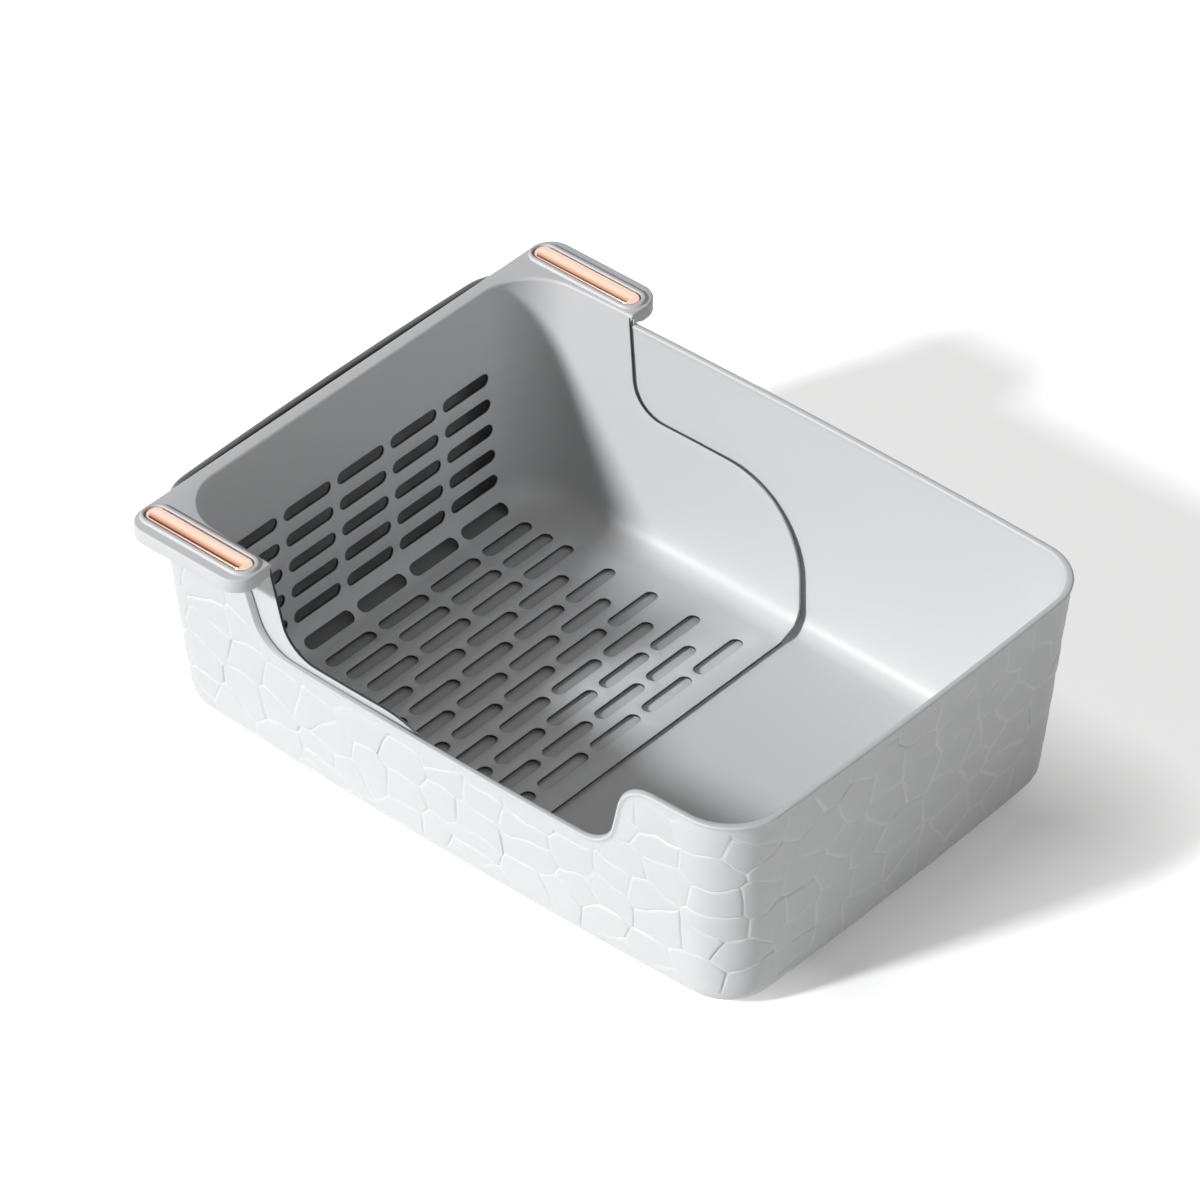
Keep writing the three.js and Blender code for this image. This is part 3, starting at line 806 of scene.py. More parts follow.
def relief(uv):
    """How far the relief stands out at places, and how near they are to the middle of a groove, which
    sets the painted highlight.
    """
    p = unwarp(uv)
    out, nearness = np.zeros(len(p)), np.zeros(len(p))
    for start in range(0, len(p), BLOCK):
        block = p[start:start + BLOCK]
        apart = (((block[:, None] - all_seeds[None]) * SQUEEZE) ** 2).sum(2)
        order = np.argpartition(apart, 3, axis=1)[:, :3]
        order = np.take_along_axis(order, np.argsort(np.take_along_axis(apart, order, 1), axis=1), 1)
        levels = all_rise[order] + ((block[:, None] - all_seeds[order]) * all_tilt[order]).sum(2)
        first, second = all_seeds[order[:, 0]], all_seeds[order[:, 1]]
        normal = (second - first) * SQUEEZE**2
        limit = (((second * SQUEEZE) ** 2).sum(1) - ((first * SQUEEZE) ** 2).sum(1)) / 2
        room = (limit - (block * normal).sum(1)) / np.linalg.norm(normal, axis=1)
        floor_level = np.minimum(levels[:, 0], levels[:, 1]) - GROOVE_DEPTH
        shoulder = levels[:, 0] - GROOVE_DEPTH * SHOULDER_SHARE
        top = levels[:, 0] + PILLOW * (1 - np.exp(-np.maximum(room - GROOVE_EASE, 0) / PILLOW_REACH))
        step = np.where(room < (GROOVE_HALF + GROOVE_EASE) / 2, shoulder, top)
        out[start:start + BLOCK] = np.where(room < GROOVE_HALF / 2, floor_level, step)
        # Nearness to a groove sets how much painted highlight it gets.
        nearness[start:start + BLOCK] = np.clip(1 - room / GROOVE_HIGHLIGHT_REACH, 0, 1)
    return out, nearness


on_seed = relief(seeds[:1])[0]
print("the first stone stands out", round(float(on_seed[0]), 2), "mm near its seed")

# %% [markdown]
# Fading the relief
#
# On the real pan the stones stop short of the rim and run out above the foot. The relief is
# multiplied by a soft step there, which needs the distance to the bead's line at every place.

# %% Soft steps and distances
def ease(low, high, value):
    """A soft step from 0 to 1."""
    share = np.clip((value - low) / (high - low), 0, 1)
    return share * share * (3 - 2 * share)


def distance_to_edge(uv):
    """Distance on the map from places to the bead's line."""
    line = np.concatenate([edge + [lap, 0] for lap in (-ROUND, 0, ROUND)])
    best = np.full(len(uv), 1e9)
    for start in range(0, len(uv), BLOCK):
        block = uv[start:start + BLOCK]
        a, b = line[:-1], line[1:]
        ab = b - a
        share = ((block[:, None] - a) * ab).sum(2) / (ab * ab).sum(1)
        foot = a + ab * np.clip(share, 0, 1)[..., None]
        best[start:start + BLOCK] = np.sqrt(((block[:, None] - foot) ** 2).sum(2)).min(1)
    return best


middle_of_front = np.array([[float(front_u(0, PAN_HEIGHT)), RIM_V]])
print("the entry is", round(float(distance_to_edge(middle_of_front)[0])), "mm below the rim")

# %% [markdown]
# Filling a flat outline
#
# Each skin of the wall is drawn flat, with the lines that its mesh must follow, and filled with
# triangles between them. A constrained Delaunay fill does this: it keeps every line given to it
# and joins the rest with triangles that are as even as they can be.

# %% Fill between lines
FILL_CLOSENESS = 1e-4


def fill(lines, loops, loose):
    """Triangles inside the first loop and outside the others, along all the lines."""
    points, edges, faces = [], [], []
    for loop in loops:
        start = len(points)
        x, y = np.asarray(loop).T
        clockwise = (x * np.roll(y, -1) - y * np.roll(x, -1)).sum() < 0
        points += [tuple(p) for p in (loop[::-1] if clockwise else loop)]
        faces.append(list(range(start, len(points))))
    for line in lines:
        start = len(points)
        points += [tuple(p) for p in line]
        edges += [(k, k + 1) for k in range(start, len(points) - 1)]
    points += [tuple(p) for p in loose]
    result = delaunay_2d_cdt([Vector(p) for p in points], edges, faces, 0, FILL_CLOSENESS, True)
    places, triangles, origins = result[0], result[2], result[5]
    kept = np.array([tuple(t) for t, o in zip(triangles, origins) if len(o) == 1 and o[0] == 0])
    used = np.unique(kept)
    rank = np.full(len(places), -1)
    rank[used] = np.arange(len(used))
    return np.array([tuple(p) for p in places])[used], rank[kept].tolist()


unit_square = [(0, 0), (1, 0), (1, 1), (0, 1)]
print("a square fills with", len(fill([], [unit_square], [])[1]), "triangles")

# %% [markdown]
# From patches to a mesh
#
# Every skin, edge and slot wall is a patch: its points, its faces and perhaps a tone for each point.
# The patches of a moulding go into one mesh, and points that meet are welded, so that the shell is
# closed. The count of open edges is printed, and it should be 0.

# %% Join patches
def join_patches(name, patches, weld):
    """One mesh from patches of points in millimetres, faces and perhaps tones, welded together."""
    points = np.concatenate([patch[0] for patch in patches]) * MM
    tones = np.concatenate([
        patch[2] if len(patch) > 2 else np.zeros(len(patch[0]))
        for patch in patches])
    faces, start = [], 0
    for place, patch_faces, *_ in patches:
        faces += [[start + k for k in face] for face in patch_faces]
        start += len(place)
    mesh = bpy.data.meshes.new(name)
    mesh.from_pydata([tuple(p) for p in points], [], faces)
    mesh.attributes.new(TONE, "FLOAT", "POINT").data.foreach_set("value", tones.astype(np.float32))
    made = bpy.data.objects.new(name, mesh)
    bpy.context.scene.collection.objects.link(made)
    work = bmesh.new()
    work.from_mesh(mesh)
    bmesh.ops.remove_doubles(work, verts=work.verts, dist=weld * MM)
    loose = [v for v in work.verts if not v.link_faces]
    bmesh.ops.delete(work, geom=loose, context="VERTS")
    bmesh.ops.recalc_face_normals(work, faces=work.faces)
    open_edges = sum(1 for e in work.edges if len(e.link_faces) != 2)
    work.to_mesh(mesh)
    work.free()
    print(name, len(mesh.polygons), "faces,", open_edges, "open edges")
    return made


def strip(rings, closed=True):
    """Four-sided faces between rings that have the same number of points."""
    count = len(rings[0])
    span = count if closed else count - 1
    faces = []
    for k in range(len(rings) - 1):
        for i in range(span):
            j = (i + 1) % count
            faces.append((k * count + i, k * count + j, (k + 1) * count + j, (k + 1) * count + i))
    return np.concatenate(rings), faces


print("two rings of 4 make", len(strip([unit_square, unit_square])[1]), "faces")

# %% [markdown]
# The bead
#
# The rolled edge is a small section carried along the line of the rim. It starts on the outside a
# few millimetres down, swells out, rounds over the top and comes back to the inside of the wall.
# Under the tray's flange only its shaded inner side can be seen, so a painted shade darkens it there.

# %% The bead's section
BEAD = [
    (4.5, 0), (3.3, 0.25), (2.5, 0.8), (1.8, 1.25), (1.05, 1.4), (0.45, 1.1), (0.1, 0.55), (0, -0.2),
    (0, -2), (0.25, -2.9), (0.8, -3.45), (1.6, -3.6), (2.4, -3.5), (3.4, -3.3), (4.5, -3.2),
]
# Painted shade for each line of the bead, darkest on its inside.
BEAD_PAINTED_SHADE = [0, 0, 0, 0, 0, -0.2, -0.45, -0.7] + [-0.85] * 7
UNDER_FLANGE_X, UNDER_FLANGE_Y = -240, (150, 172)


def bead_ring(into, out):
    """One line of the bead: a distance into the wall from the edge, and a distance out of it."""
    uv = edge + INTO_WALL * into
    place = outer_point(uv[:, 0], uv[:, 1])
    if out >= 0:
        return place + outer_normal(uv[:, 0], uv[:, 1]) * out
    inside = wall_point(uv[:, 0], inner_v(uv[:, 1]), FLOOR_TOP, INNER_FILLET, PAN_WALL)
    return place + (inside - place) * (-out / PAN_WALL)


def bead_with_painted_shade():
    """The bead, with painted shade on its inside where the tray's flange lies over it."""
    places, faces = strip([bead_ring(*step) for step in BEAD])
    shade_under_flange = (1 - ease(*UNDER_FLANGE_Y, abs(places[:, 1]))) * (places[:, 0] < UNDER_FLANGE_X)
    return places, faces, shade_under_flange * np.repeat(BEAD_PAINTED_SHADE, len(edge))


bead = bead_with_painted_shade()
print("bead", len(bead[1]), "faces")

# %% [markdown]
# The map's border and grid
#
# Each skin of the wall is one flat piece of map, cut open along a seam on the back wall. Its border
# runs along the bottom, up the seam, back along the bead and down the seam. Both sides of the seam
# get the same stations, so that they weld. A grid of loose points between keeps the triangles even.

# %% The border and the grid
SEAM = edge[0, 0]
LOWEST_LINE, BORDER_ROOM = 3, 0.6


def seam_loop(uv_top, bottom_us, low_v, step):
    """The map's border: along the bottom, up the seam, back along the edge, down the seam."""
    high = uv_top[0][1]
    heights = np.linspace(low_v, high, max(2, math.ceil((high - low_v) / step)) + 1)
    bottom = [(u, low_v) for u in bottom_us]
    right = [(SEAM + ROUND, v) for v in heights[1:-1]]
    top = [(SEAM + ROUND, high)] + [tuple(p) for p in uv_top[:0:-1]] + [(SEAM, high)]
    left = [(SEAM, v) for v in heights[-2:0:-1]]
    return bottom + right + top + left


def map_grid(step_u, step_v, low_v, high_v, keep):
    """Loose points that fill the map at an even spacing, where keep says so."""
    us = np.arange(SEAM + step_u / 2, SEAM + ROUND - step_u / 3, step_u)
    vs = np.arange(low_v + step_v / 2, high_v, step_v)
    uv = np.array([(u + (step_u / 2 if k % 2 else 0), v) for k, v in enumerate(vs) for u in us])
    uv = uv[uv[:, 0] < SEAM + ROUND - step_u / 4]
    return uv[keep(uv)]


def round_us(straight, corner):
    """Stations along the outline, closer together in the corners."""
    us = []
    stops = [SEAM, *MARKS[2:9], MARKS[8] + ARC, SEAM + ROUND]
    for a, b in zip(stops, stops[1:]):
        step = corner if is_corner(a, b) else straight
        count = max(1, math.ceil((b - a) / step))
        us += [a + (b - a) * k / count for k in range(count)]
    return us + [SEAM + ROUND]


def clear_of_border(uv):
    """Whether places on the map lie inside the outer skin, away from its top and bottom."""
    under = uv[:, 1] < np.interp(uv[:, 0], edge[:, 0], edge[:, 1], period=ROUND)
    inside = under & (uv[:, 1] > LOWEST_LINE)
    inside[inside] = distance_to_edge(uv[inside]) > BEAD[0][0] + BORDER_ROOM
    return inside


print("the seam is", round(float(SEAM)), "mm along the outline")

# %% [markdown]
# The outside of the wall
#
# The skin is filled along the middle and both flanks of every groove, and then each point is pushed
# out of the wall by the height of the relief. The mesh's edges lie along the grooves, so they stay
# crisp with few triangles. A height map in the material would need no mesh, but it would not show on
# the outline of the pan, and the exported model would be smooth.

# %% The outer skin
GRID = 6
OUTER_STEPS = (9, 4)
GROOVE_STEP, SEAM_OVERLAP = 5, 60
STONE_LIFT = 0.2
EDGE_FADE, BOTTOM_FADE = (4.5, 14), (20, 36)
RAGGED, RAGGED_WAVES = 5, (29, 11)
# The share of the grooves' painted highlight away from the end face, and where the end face begins.
GROOVE_HIGHLIGHT_SHARE, END_FACE = 0.42, (235, 262)


def stone_lines():
    """The centre and both sides of every groove, as lines on the map."""
    lines = []
    for i, (u, _) in enumerate(all_seeds):
        if not SEAM - SEAM_OVERLAP < u < SEAM + ROUND + SEAM_OVERLAP:
            continue
        for shrink in (0, GROOVE_HALF, GROOVE_EASE):
            polygon = stone_outline(i, shrink)
            if len(polygon) < 3:
                continue
            line = spaced(polygon, GROOVE_STEP, closed=True)
            line = np.concatenate([line, line[:1]])
            lines.append(line + warp(line))
    ends = np.cumsum([len(line) for line in lines])
    clear = clear_of_border(np.concatenate(lines))
    runs = []
    for line, end in zip(lines, ends):
        kept = clear[end - len(line):end]
        start = None
        for k, ok in enumerate(kept):
            if ok and start is None:
                start = k
            if start is not None and (not ok or k == len(kept) - 1):
                stop = k + 1 if ok else k
                if stop - start > 1:
                    runs.append(line[start:stop])
                start = None
    return runs


def outer_skin():
    """The outside with its relief, and a painted highlight along the grooves, strongest on the end
    face.
    """
    top = edge + INTO_WALL * BEAD[0][0]
    loop = seam_loop(list(map(tuple, top)), round_us(*OUTER_STEPS), 0, GRID)
    grid = map_grid(GRID, GRID, 0, RIM_V, clear_of_border)
    places, faces = fill(stone_lines(), [loop], grid)
    away = distance_to_edge(places)
    height, nearness = relief(places)
    fade = ease(*EDGE_FADE, away)
    lap = places[:, 0] * math.tau / ROUND
    ragged = RAGGED * np.sin(RAGGED_WAVES[0] * lap) * np.sin(RAGGED_WAVES[1] * lap)
    fade *= ease(*BOTTOM_FADE, places[:, 1] + ragged)
    fade[away < BEAD[0][0] + BORDER_ROOM / 2] = 0
    lift = (height + STONE_LIFT) * fade
    us, vs = places.T
    out = outer_point(us, vs) + outer_normal(us, vs) * lift[:, None]
    print("outer skin", len(faces), "faces")
    # The painted highlight along the grooves is strongest on the end face.
    end_face = ease(*END_FACE, abs(out[:, 0]))
    return out, faces, nearness * fade * (GROOVE_HIGHLIGHT_SHARE + (1 - GROOVE_HIGHLIGHT_SHARE) * end_face)


skin = outer_skin()

# %% [markdown]
# The inside
#
# Inside, the wall is plain and meets the floor in a wide fillet, so that litter can be wiped out.
# It is filled like the outside, without stones. Deep shade lies behind the slots of the tray, so
# the floor and the end wall get a painted shade there, a darker tone with soft borders.

# %% The inside of the wall and the floor
INNER_STEPS, INNER_GRID, FILLET_STEPS = (12, 5), 12, 10
# Where the painted shade behind the slots lies, and how dark it is.
SHADE_SIDE, SHADE_TOP = (130, 160), (125, 150)
FLOOR_SHADE, FLOOR_SHADE_X = 0.22, (0, 25)
END_SHADE, END_SHADE_X = 0.3, (175, 205)


def inner_skin():
    """The inside from the fillet up to the bead, with the painted shade behind the slots."""
    top = edge + INTO_WALL * BEAD[-1][0]
    top = np.stack([top[:, 0], inner_v(top[:, 1])], -1)
    loop = seam_loop(list(map(tuple, top)), round_us(*INNER_STEPS), INNER_BEND, INNER_GRID)
    grid = map_grid(
        INNER_GRID, INNER_GRID, INNER_BEND, RIM_V,
        lambda uv: clear_of_border(uv + [0, FOOT_BEND - INNER_BEND]))
    places, faces = fill([], [loop], grid)
    out = wall_point(places[:, 0], places[:, 1], FLOOR_TOP, INNER_FILLET, PAN_WALL)
    return out, faces, painted_shade_behind_slots(out)


def painted_shade_behind_slots(places):
    """Painted shade on the floor and the end wall where they are seen through the tray's slots."""
    middle = (1 - ease(*SHADE_SIDE, abs(places[:, 1]))) * (1 - ease(*SHADE_TOP, places[:, 2]))
    left = -places[:, 0]
    return -middle * (FLOOR_SHADE * ease(*FLOOR_SHADE_X, left) + END_SHADE * ease(*END_SHADE_X, left))


def inner_fillet():
    """The fillet as a strip with painted shade behind the slots, and its lowest ring, which borders the
    floor.
    """
    us = np.array(round_us(*INNER_STEPS))
    rings = [
        wall_point(us, INNER_BEND * k / FILLET_STEPS, FLOOR_TOP, INNER_FILLET, PAN_WALL)
        for k in range(FILLET_STEPS + 1)]
    places, faces = strip(rings, closed=False)
    return (places, faces, painted_shade_behind_slots(places)), rings[0][:-1]


def level(outline, z, holes, step):
    """A flat patch at a height, inside an outline and outside some holes."""
    low, high = outline[:, :2].min(0), outline[:, :2].max(0)
    xs, ys = np.arange(low[0] + step, high[0], step), np.arange(low[1] + step, high[1], step)
    grid = np.array([(x, y) for x in xs for y in ys])
    places, faces = fill([], [outline[:, :2]] + [h[:, :2] for h in holes], grid)
    return np.column_stack([places, np.full(len(places), z)]), faces


inner_patch = inner_skin()
fillet_patch, floor_ring = inner_fillet()
floor_places, floor_faces = level(floor_ring, FLOOR_TOP, [], INNER_GRID)
floor_patch = floor_places, floor_faces, painted_shade_behind_slots(floor_places)
print("inside", len(inner_patch[1]) + len(fillet_patch[1]), "faces, floor", len(floor_faces))

# %% [markdown]
# The base and the whole pan
#
# Underneath, the base is flat with a shallow round recess for each of the four pads. With it the
# shell is closed, and all its patches are joined into one piece in the place of the plain solid.

# %% The base and the pan
PAD_PLACES = [(-206, -132), (206, -132), (-206, 132), (206, 132)]
PAD_RECESS_RADIUS, PAD_RECESS = 13.3, 1.2
BASE_GRID, RECESS_GRID = 30, 9
PAN_WELD, PAN_SMOOTH = 0.02, 50


def circle(x, y, z, radius, count=48):
    turn = np.arange(count) * math.tau / count
    return np.column_stack([x + radius * np.cos(turn), y + radius * np.sin(turn), np.full(count, z)])


def base_patches():
    """The flat of the base, and the wall and the top of each recess in it."""
    us = np.array(round_us(*OUTER_STEPS))
    foot = wall_point(us, 0, BASE_Z, FOOT_RADIUS, 0)[:-1]
    rims = [circle(x, y, BASE_Z, PAD_RECESS_RADIUS) for x, y in PAD_PLACES]
    patches = [level(foot, BASE_Z, rims, BASE_GRID)]
    for x, y in PAD_PLACES:
        top = circle(x, y, BASE_Z + PAD_RECESS, PAD_RECESS_RADIUS)
        patches.append(strip([circle(x, y, BASE_Z, PAD_RECESS_RADIUS), top]))
        patches.append(level(top, BASE_Z + PAD_RECESS, [], RECESS_GRID))
    return patches


pan_patches = [skin, bead, inner_patch, fillet_patch, floor_patch] + base_patches()
pan = join_patches("pan", pan_patches, PAN_WELD)
pan.data.materials.append(pan_plastic)
bpy.ops.object.select_all(action="DESELECT")
pan.select_set(True)
bpy.context.view_layer.objects.active = pan
bpy.ops.object.shade_smooth_by_angle(angle=math.radians(PAN_SMOOTH))
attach(pan, "pan")
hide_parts("litter_pan")
print("pan of", len(pan.data.polygons), "faces")

# %% [markdown]
# The sifting tray
#
# The tray is a thin sheet bent up into three walls, full of slots. It could be a solid with the
# slots cut out of it, but cutting leaves hard edges, and it is the soft edge of each slot that
# catches the light. So the sheet is another map, with an inner and an outer skin. The slots are
# left out of both skins, and each gets a small rounded wall of its own.

# %% The tray's sheet as a map
TRAY_WALL, TRAY_FLOOR, TRAY_UNDER = 2.2, 1.8, 4.8
TRAY_TOP = TRAY_UNDER + TRAY_FLOOR
TRAY_FILLET, TRAY_CORNER = 22, 40
TRAY_END_X, TRAY_OPEN_X = -241.3, 22.6
TRAY_SIDE_GAP, TRAY_EXTRA_DRAFT = 1.2, 0.006
GRIP_TOP, PLATE_UNDER, GRIP_UNDER = 185.5, 183, 174.3
TRAY_HALF_RUN = 165.3
TRAY_BEND = TRAY_FILLET * math.pi / 2
BEND_TOP_Z = TRAY_TOP + TRAY_FILLET
SIDE_S, CORNER_S, END_S = 235, 62.8, 255.8
TRAY_MARKS = np.concatenate([[0], np.cumsum([SIDE_S, CORNER_S, END_S, CORNER_S, SIDE_S])])
SETTLE_REACH = 20


def tray_section(v, bottom, fillet, skin):
    """Where one skin of the tray lies at a height: z, the end's x, a corner's middle and its radius."""
    angle = np.clip(v / TRAY_BEND, 0, 1) * math.pi / 2
    tuck = fillet * (1 - np.sin(angle))
    centre_z = bottom + fillet
    settle_down = (centre_z - BEND_TOP_Z) * np.clip(1 - (v - TRAY_BEND) / SETTLE_REACH, 0, 1)
    straight_z = BEND_TOP_Z + v - TRAY_BEND + settle_down
    z = np.where(v < TRAY_BEND, centre_z - fillet * np.cos(angle), straight_z)
    wall_z = np.maximum(z, centre_z)
    low_x = TRAY_END_X - (TRAY_WALL - skin) + (GRIP_TOP - wall_z) * DRAFT + tuck
    gap = TRAY_SIDE_GAP + (GRIP_TOP - wall_z) * TRAY_EXTRA_DRAFT
    in_pan = PAN_WIDTH / 2 - LIP_PROUD - (PAN_HEIGHT - wall_z) * DRAFT - PAN_WALL
    half_width = in_pan - gap - skin - tuck
    radius = TRAY_CORNER + TRAY_WALL - skin - tuck * FOOT_TUCK
    return z, low_x, low_x + radius, half_width - SIDE_BOW - radius, radius


print("the sheet's map is", round(float(TRAY_MARKS[-1])), "mm long")

# %% [markdown]
# Places in the sheet
#
# A place on the map is turned into a place in the room in two steps: the section gives its height
# and how wide the tray is there, and the measure along the walls says whether it lies on a side, in
# a corner or on the end. A third number, the depth, goes from the inner skin to the outer one.

# %% From the map to the sheet
def tray_skin(s, v, bottom, fillet, skin):
    """Where places of the map lie on one skin: s runs along the walls and v up them."""
    s, v = np.broadcast_arrays(np.asarray(s, float), np.asarray(v, float))
    z, low_x, middle_x, middle_y, radius = tray_section(v, bottom, fillet, skin)
    part = np.clip(np.searchsorted(TRAY_MARKS, s, side="right") - 1, 0, 4)
    share = (s - TRAY_MARKS[part]) / np.array([SIDE_S, CORNER_S, END_S, CORNER_S, SIDE_S])[part]
    turn = np.where(part < 2, 1.5, 1) * math.pi - share * math.pi / 2
    side = np.where(part < 2, -1, 1)
    x = np.select(
        [part == 0, part == 2, part == 4],
        [middle_x + SIDE_S - s, low_x, middle_x + s - TRAY_MARKS[4]],
        middle_x + radius * np.cos(turn))
    y = np.select(
        [part == 0, part == 2, part == 4],
        [-middle_y - radius, middle_y * (2 * share - 1), middle_y + radius],
        side * middle_y + radius * np.sin(turn))
    along = (x - TRAY_HALF_RUN - low_x) / TRAY_HALF_RUN
    y = y + np.sign(y) * SIDE_BOW * np.maximum(0, 1 - along**2)
    return np.stack([x, y, z], -1)


def tray_point(s, v, depth):
    """A place in the sheet: depth is 0 on the inner skin and 1 on the outer one."""
    inner = tray_skin(s, v, TRAY_TOP, TRAY_FILLET, TRAY_WALL)
    outer = tray_skin(s, v, TRAY_UNDER, TRAY_FILLET + TRAY_WALL, 0)
    return inner + (outer - inner) * depth


def tray_v(z):
    """The measure up the inner skin at a height."""
    turned = np.arccos(np.clip((BEND_TOP_Z - z) / TRAY_FILLET, -1, 1)) * TRAY_FILLET
    return np.where(z < BEND_TOP_Z, turned, TRAY_BEND + z - BEND_TOP_Z)


def tray_middle(v):
    """The middle of the inner skin's corner at a measure up the wall: x and y."""
    return tray_section(v, TRAY_TOP, TRAY_FILLET, TRAY_WALL)[2:4]


print("the bend ends", round(float(tray_point(SIDE_S, TRAY_BEND, 0)[2]), 1), "mm up")

# %% [markdown]
# The rounded edge
#
# Every edge of the sheet is rounded over half a millimetre, in six rings from one skin to the
# other. A painted shade goes with each ring, because the middle of an edge should look much
# darker than light alone makes it here.

# %% The rings of an edge
EDGE_ROUND = [(0.45, 0), (0.13, 0.13), (0, 0.45), (0, -0.45), (0.13, -0.13), (0.45, 0)]
# Painted shade on each ring of an edge, near black in its middle.
EDGE_PAINTED_SHADE = np.array([0, -0.7, -1, -1, -1, 0])


def round_share(k, thickness):
    """The depth of a step of the rounded edge, as a share of the sheet's thickness."""
    depth = EDGE_ROUND[k][1]
    return (depth if k < len(EDGE_ROUND) / 2 else thickness + depth) / thickness


def toned(patch):
    """A strip of the rounded edge with a painted shade for each of its rings."""
    places, faces = patch
    return places, faces, np.repeat(EDGE_PAINTED_SHADE, len(places) // len(EDGE_PAINTED_SHADE))


print("an edge has", len(EDGE_ROUND), "rings")

# %% [markdown]
# The slots
#
# Litter falls through long slots with round ends. They stand in columns on the floor, some of them
# staggered, and in rows on the bend and the end wall. One outline serves for all of them. It is
# moved to each place on the map, and grown a little for each ring of the edge.

# %% The slots on the map
SLOT_WIDTH, SLOT_LENGTH, SLOT_PITCH = 10.2, 47, 53.9
FLOOR_PITCH, FLOOR_COLUMNS, FIRST_STAGGERED = 19.6, 11, 4
FLOOR_SHIFT = 2
WALL_ROWS = [115 - 21.6 * row for row in range(5)]
BEND_SLOT_TURN = 0.55
CAP_STEPS, STRAIGHT_STEP = 12, 9


def stadium(grow):
    """A slot's outline, grown all round: length along the first axis."""
    straight = (SLOT_LENGTH - SLOT_WIDTH) / 2
    radius = SLOT_WIDTH / 2 + grow
    points = []
    for side in (1, -1):
        turns = (np.arange(CAP_STEPS + 1) / CAP_STEPS - 0.5) * math.pi
        points += [
            (side * (straight + radius * math.cos(t)), side * radius * math.sin(t))
            for t in turns]
    return spaced(points, STRAIGHT_STEP, closed=True)


def rows_of(count):
    """The middles of a row of slots, either side of the middle."""
    return [(i - (count - 1) / 2) * SLOT_PITCH for i in range(count)]


def floor_slots():
    """The middles of the floor's slots: x and y."""
    places = []
    for column in range(1, FLOOR_COLUMNS + 1):
        staggered = column >= FIRST_STAGGERED and (column - FIRST_STAGGERED) % 2 == 0
        x = -(FLOOR_COLUMNS - column) * FLOOR_PITCH
        places += [(x, y - FLOOR_SHIFT) for y in rows_of(4 if staggered else 5)]
    return places


def wall_slots():
    """The middles of the slots of the bend and the end wall: y, and the measure up the wall."""
    heights = [BEND_SLOT_TURN * TRAY_FILLET] + [float(tray_v(z)) for z in WALL_ROWS]
    return [(y, v) for v in heights for y in rows_of(5)]


def floor_slot_line(place, grow):
    line = stadium(grow)
    return np.column_stack([place[0] + line[:, 1], place[1] + line[:, 0]])


def wall_slot_line(place, grow):
    line = stadium(grow)
    v = place[1] + line[:, 1]
    middle_y = tray_middle(v)[1]
    s = TRAY_MARKS[2] + ((place[0] + line[:, 0]) / middle_y + 1) / 2 * END_S
    return np.column_stack([s, v])


print(len(floor_slots()), "slots in the floor,", len(wall_slots()), "in the bend and wall")

# %% [markdown]
# The open edge
#
# Each side wall ends in a curve like an S that rises from the floor to the grip. It is drawn like
# the low entry, as straight runs with rounded corners. Low on the curve it is the far ring of the
# edge that should look dark, so there the edge has painted shade of its own.

# %% The open edge on the map
SIDE_LINE = [(22.6, 6.6, 0), (13, 110.5, 72), (-137.4, 110.5, 28), (-148.42, 183, 0)]
LOBE_PAINTED_SHADE, LOBE_HEIGHTS = np.array([0, 0, 0, -0.4, -1, 0]), (95, 112)
SIDE_TURN, SIDE_STEP = 5, 6


def side_edge():
    """The open edge of the front wall on the map, from the floor up."""
    xz = spaced(rounded_line(SIDE_LINE, SIDE_TURN), SIDE_STEP)
    v = tray_v(xz[:, 1])
    return np.column_stack([SIDE_S - (xz[:, 0] - tray_middle(v)[0]), v])


def mirrored(line):
    """The same line on the back wall."""
    return np.column_stack([TRAY_MARKS[-1] - line[:, 0], line[:, 1]])


front_line = side_edge()
steps = np.gradient(front_line, axis=0)
steps /= np.linalg.norm(steps, axis=1, keepdims=True)
into_sheet = np.column_stack([steps[:, 1], -steps[:, 0]])
into_sheet[0] = (1, 0)
into_sheet[-1] = (1, 0)
print("the open edge of a side wall has", len(front_line), "points")

# %% [markdown]
# The borders of the skins
#
# The walls and the floor are filled twice, once for each skin. Their borders use the same stations
# everywhere, so that the skins weld to the edges. The stations and the grids of loose points are
# finer in the bend and the corners, where the sheet curves.

# %% The borders of the sheet
TURN_STEP, BOTTOM_STEP, TOP_STEP = 3.5, 8, 12
FLOOR_EDGE_POINTS = 40


def tray_stations(step, corner_step, first, last):
    """Measures along the map from first to last, with one at each end of a corner."""
    stops = [first, *TRAY_MARKS[1:-1], last]
    out = []
    for k, (a, b) in enumerate(zip(stops, stops[1:])):
        count = math.ceil((b - a) / (corner_step if k in (1, 3) else step))
        out += [a + (b - a) * i / count for i in range(count)]
    return np.array(out + [last])


grown = EDGE_ROUND[0][0]
front_border = front_line + into_sheet * grown
back_border = mirrored(front_border)
bottom_s = tray_stations(BOTTOM_STEP, TURN_STEP, front_border[0, 0], back_border[0, 0])
top_s = tray_stations(TOP_STEP, TURN_STEP, front_border[-1, 0], back_border[-1, 0])
TOP_V = front_border[-1, 1]


def edge_profile():
    """How high the sheet reaches along the outline."""
    u = np.concatenate([front_border[:, 0], back_border[::-1, 0]])
    v = np.concatenate([front_border[:, 1], back_border[::-1, 1]])
    order = np.argsort(u, kind="stable")
    return u[order], v[order]


def open_edge_ys():
    """Places along the floor's open edge, without its ends."""
    reach = abs(float(tray_point(bottom_s[0], 0, 0)[1]))
    return np.linspace(-reach, reach, FLOOR_EDGE_POINTS)[1:-1]


print(len(bottom_s), "stations along the floor and", len(top_s), "along the top")

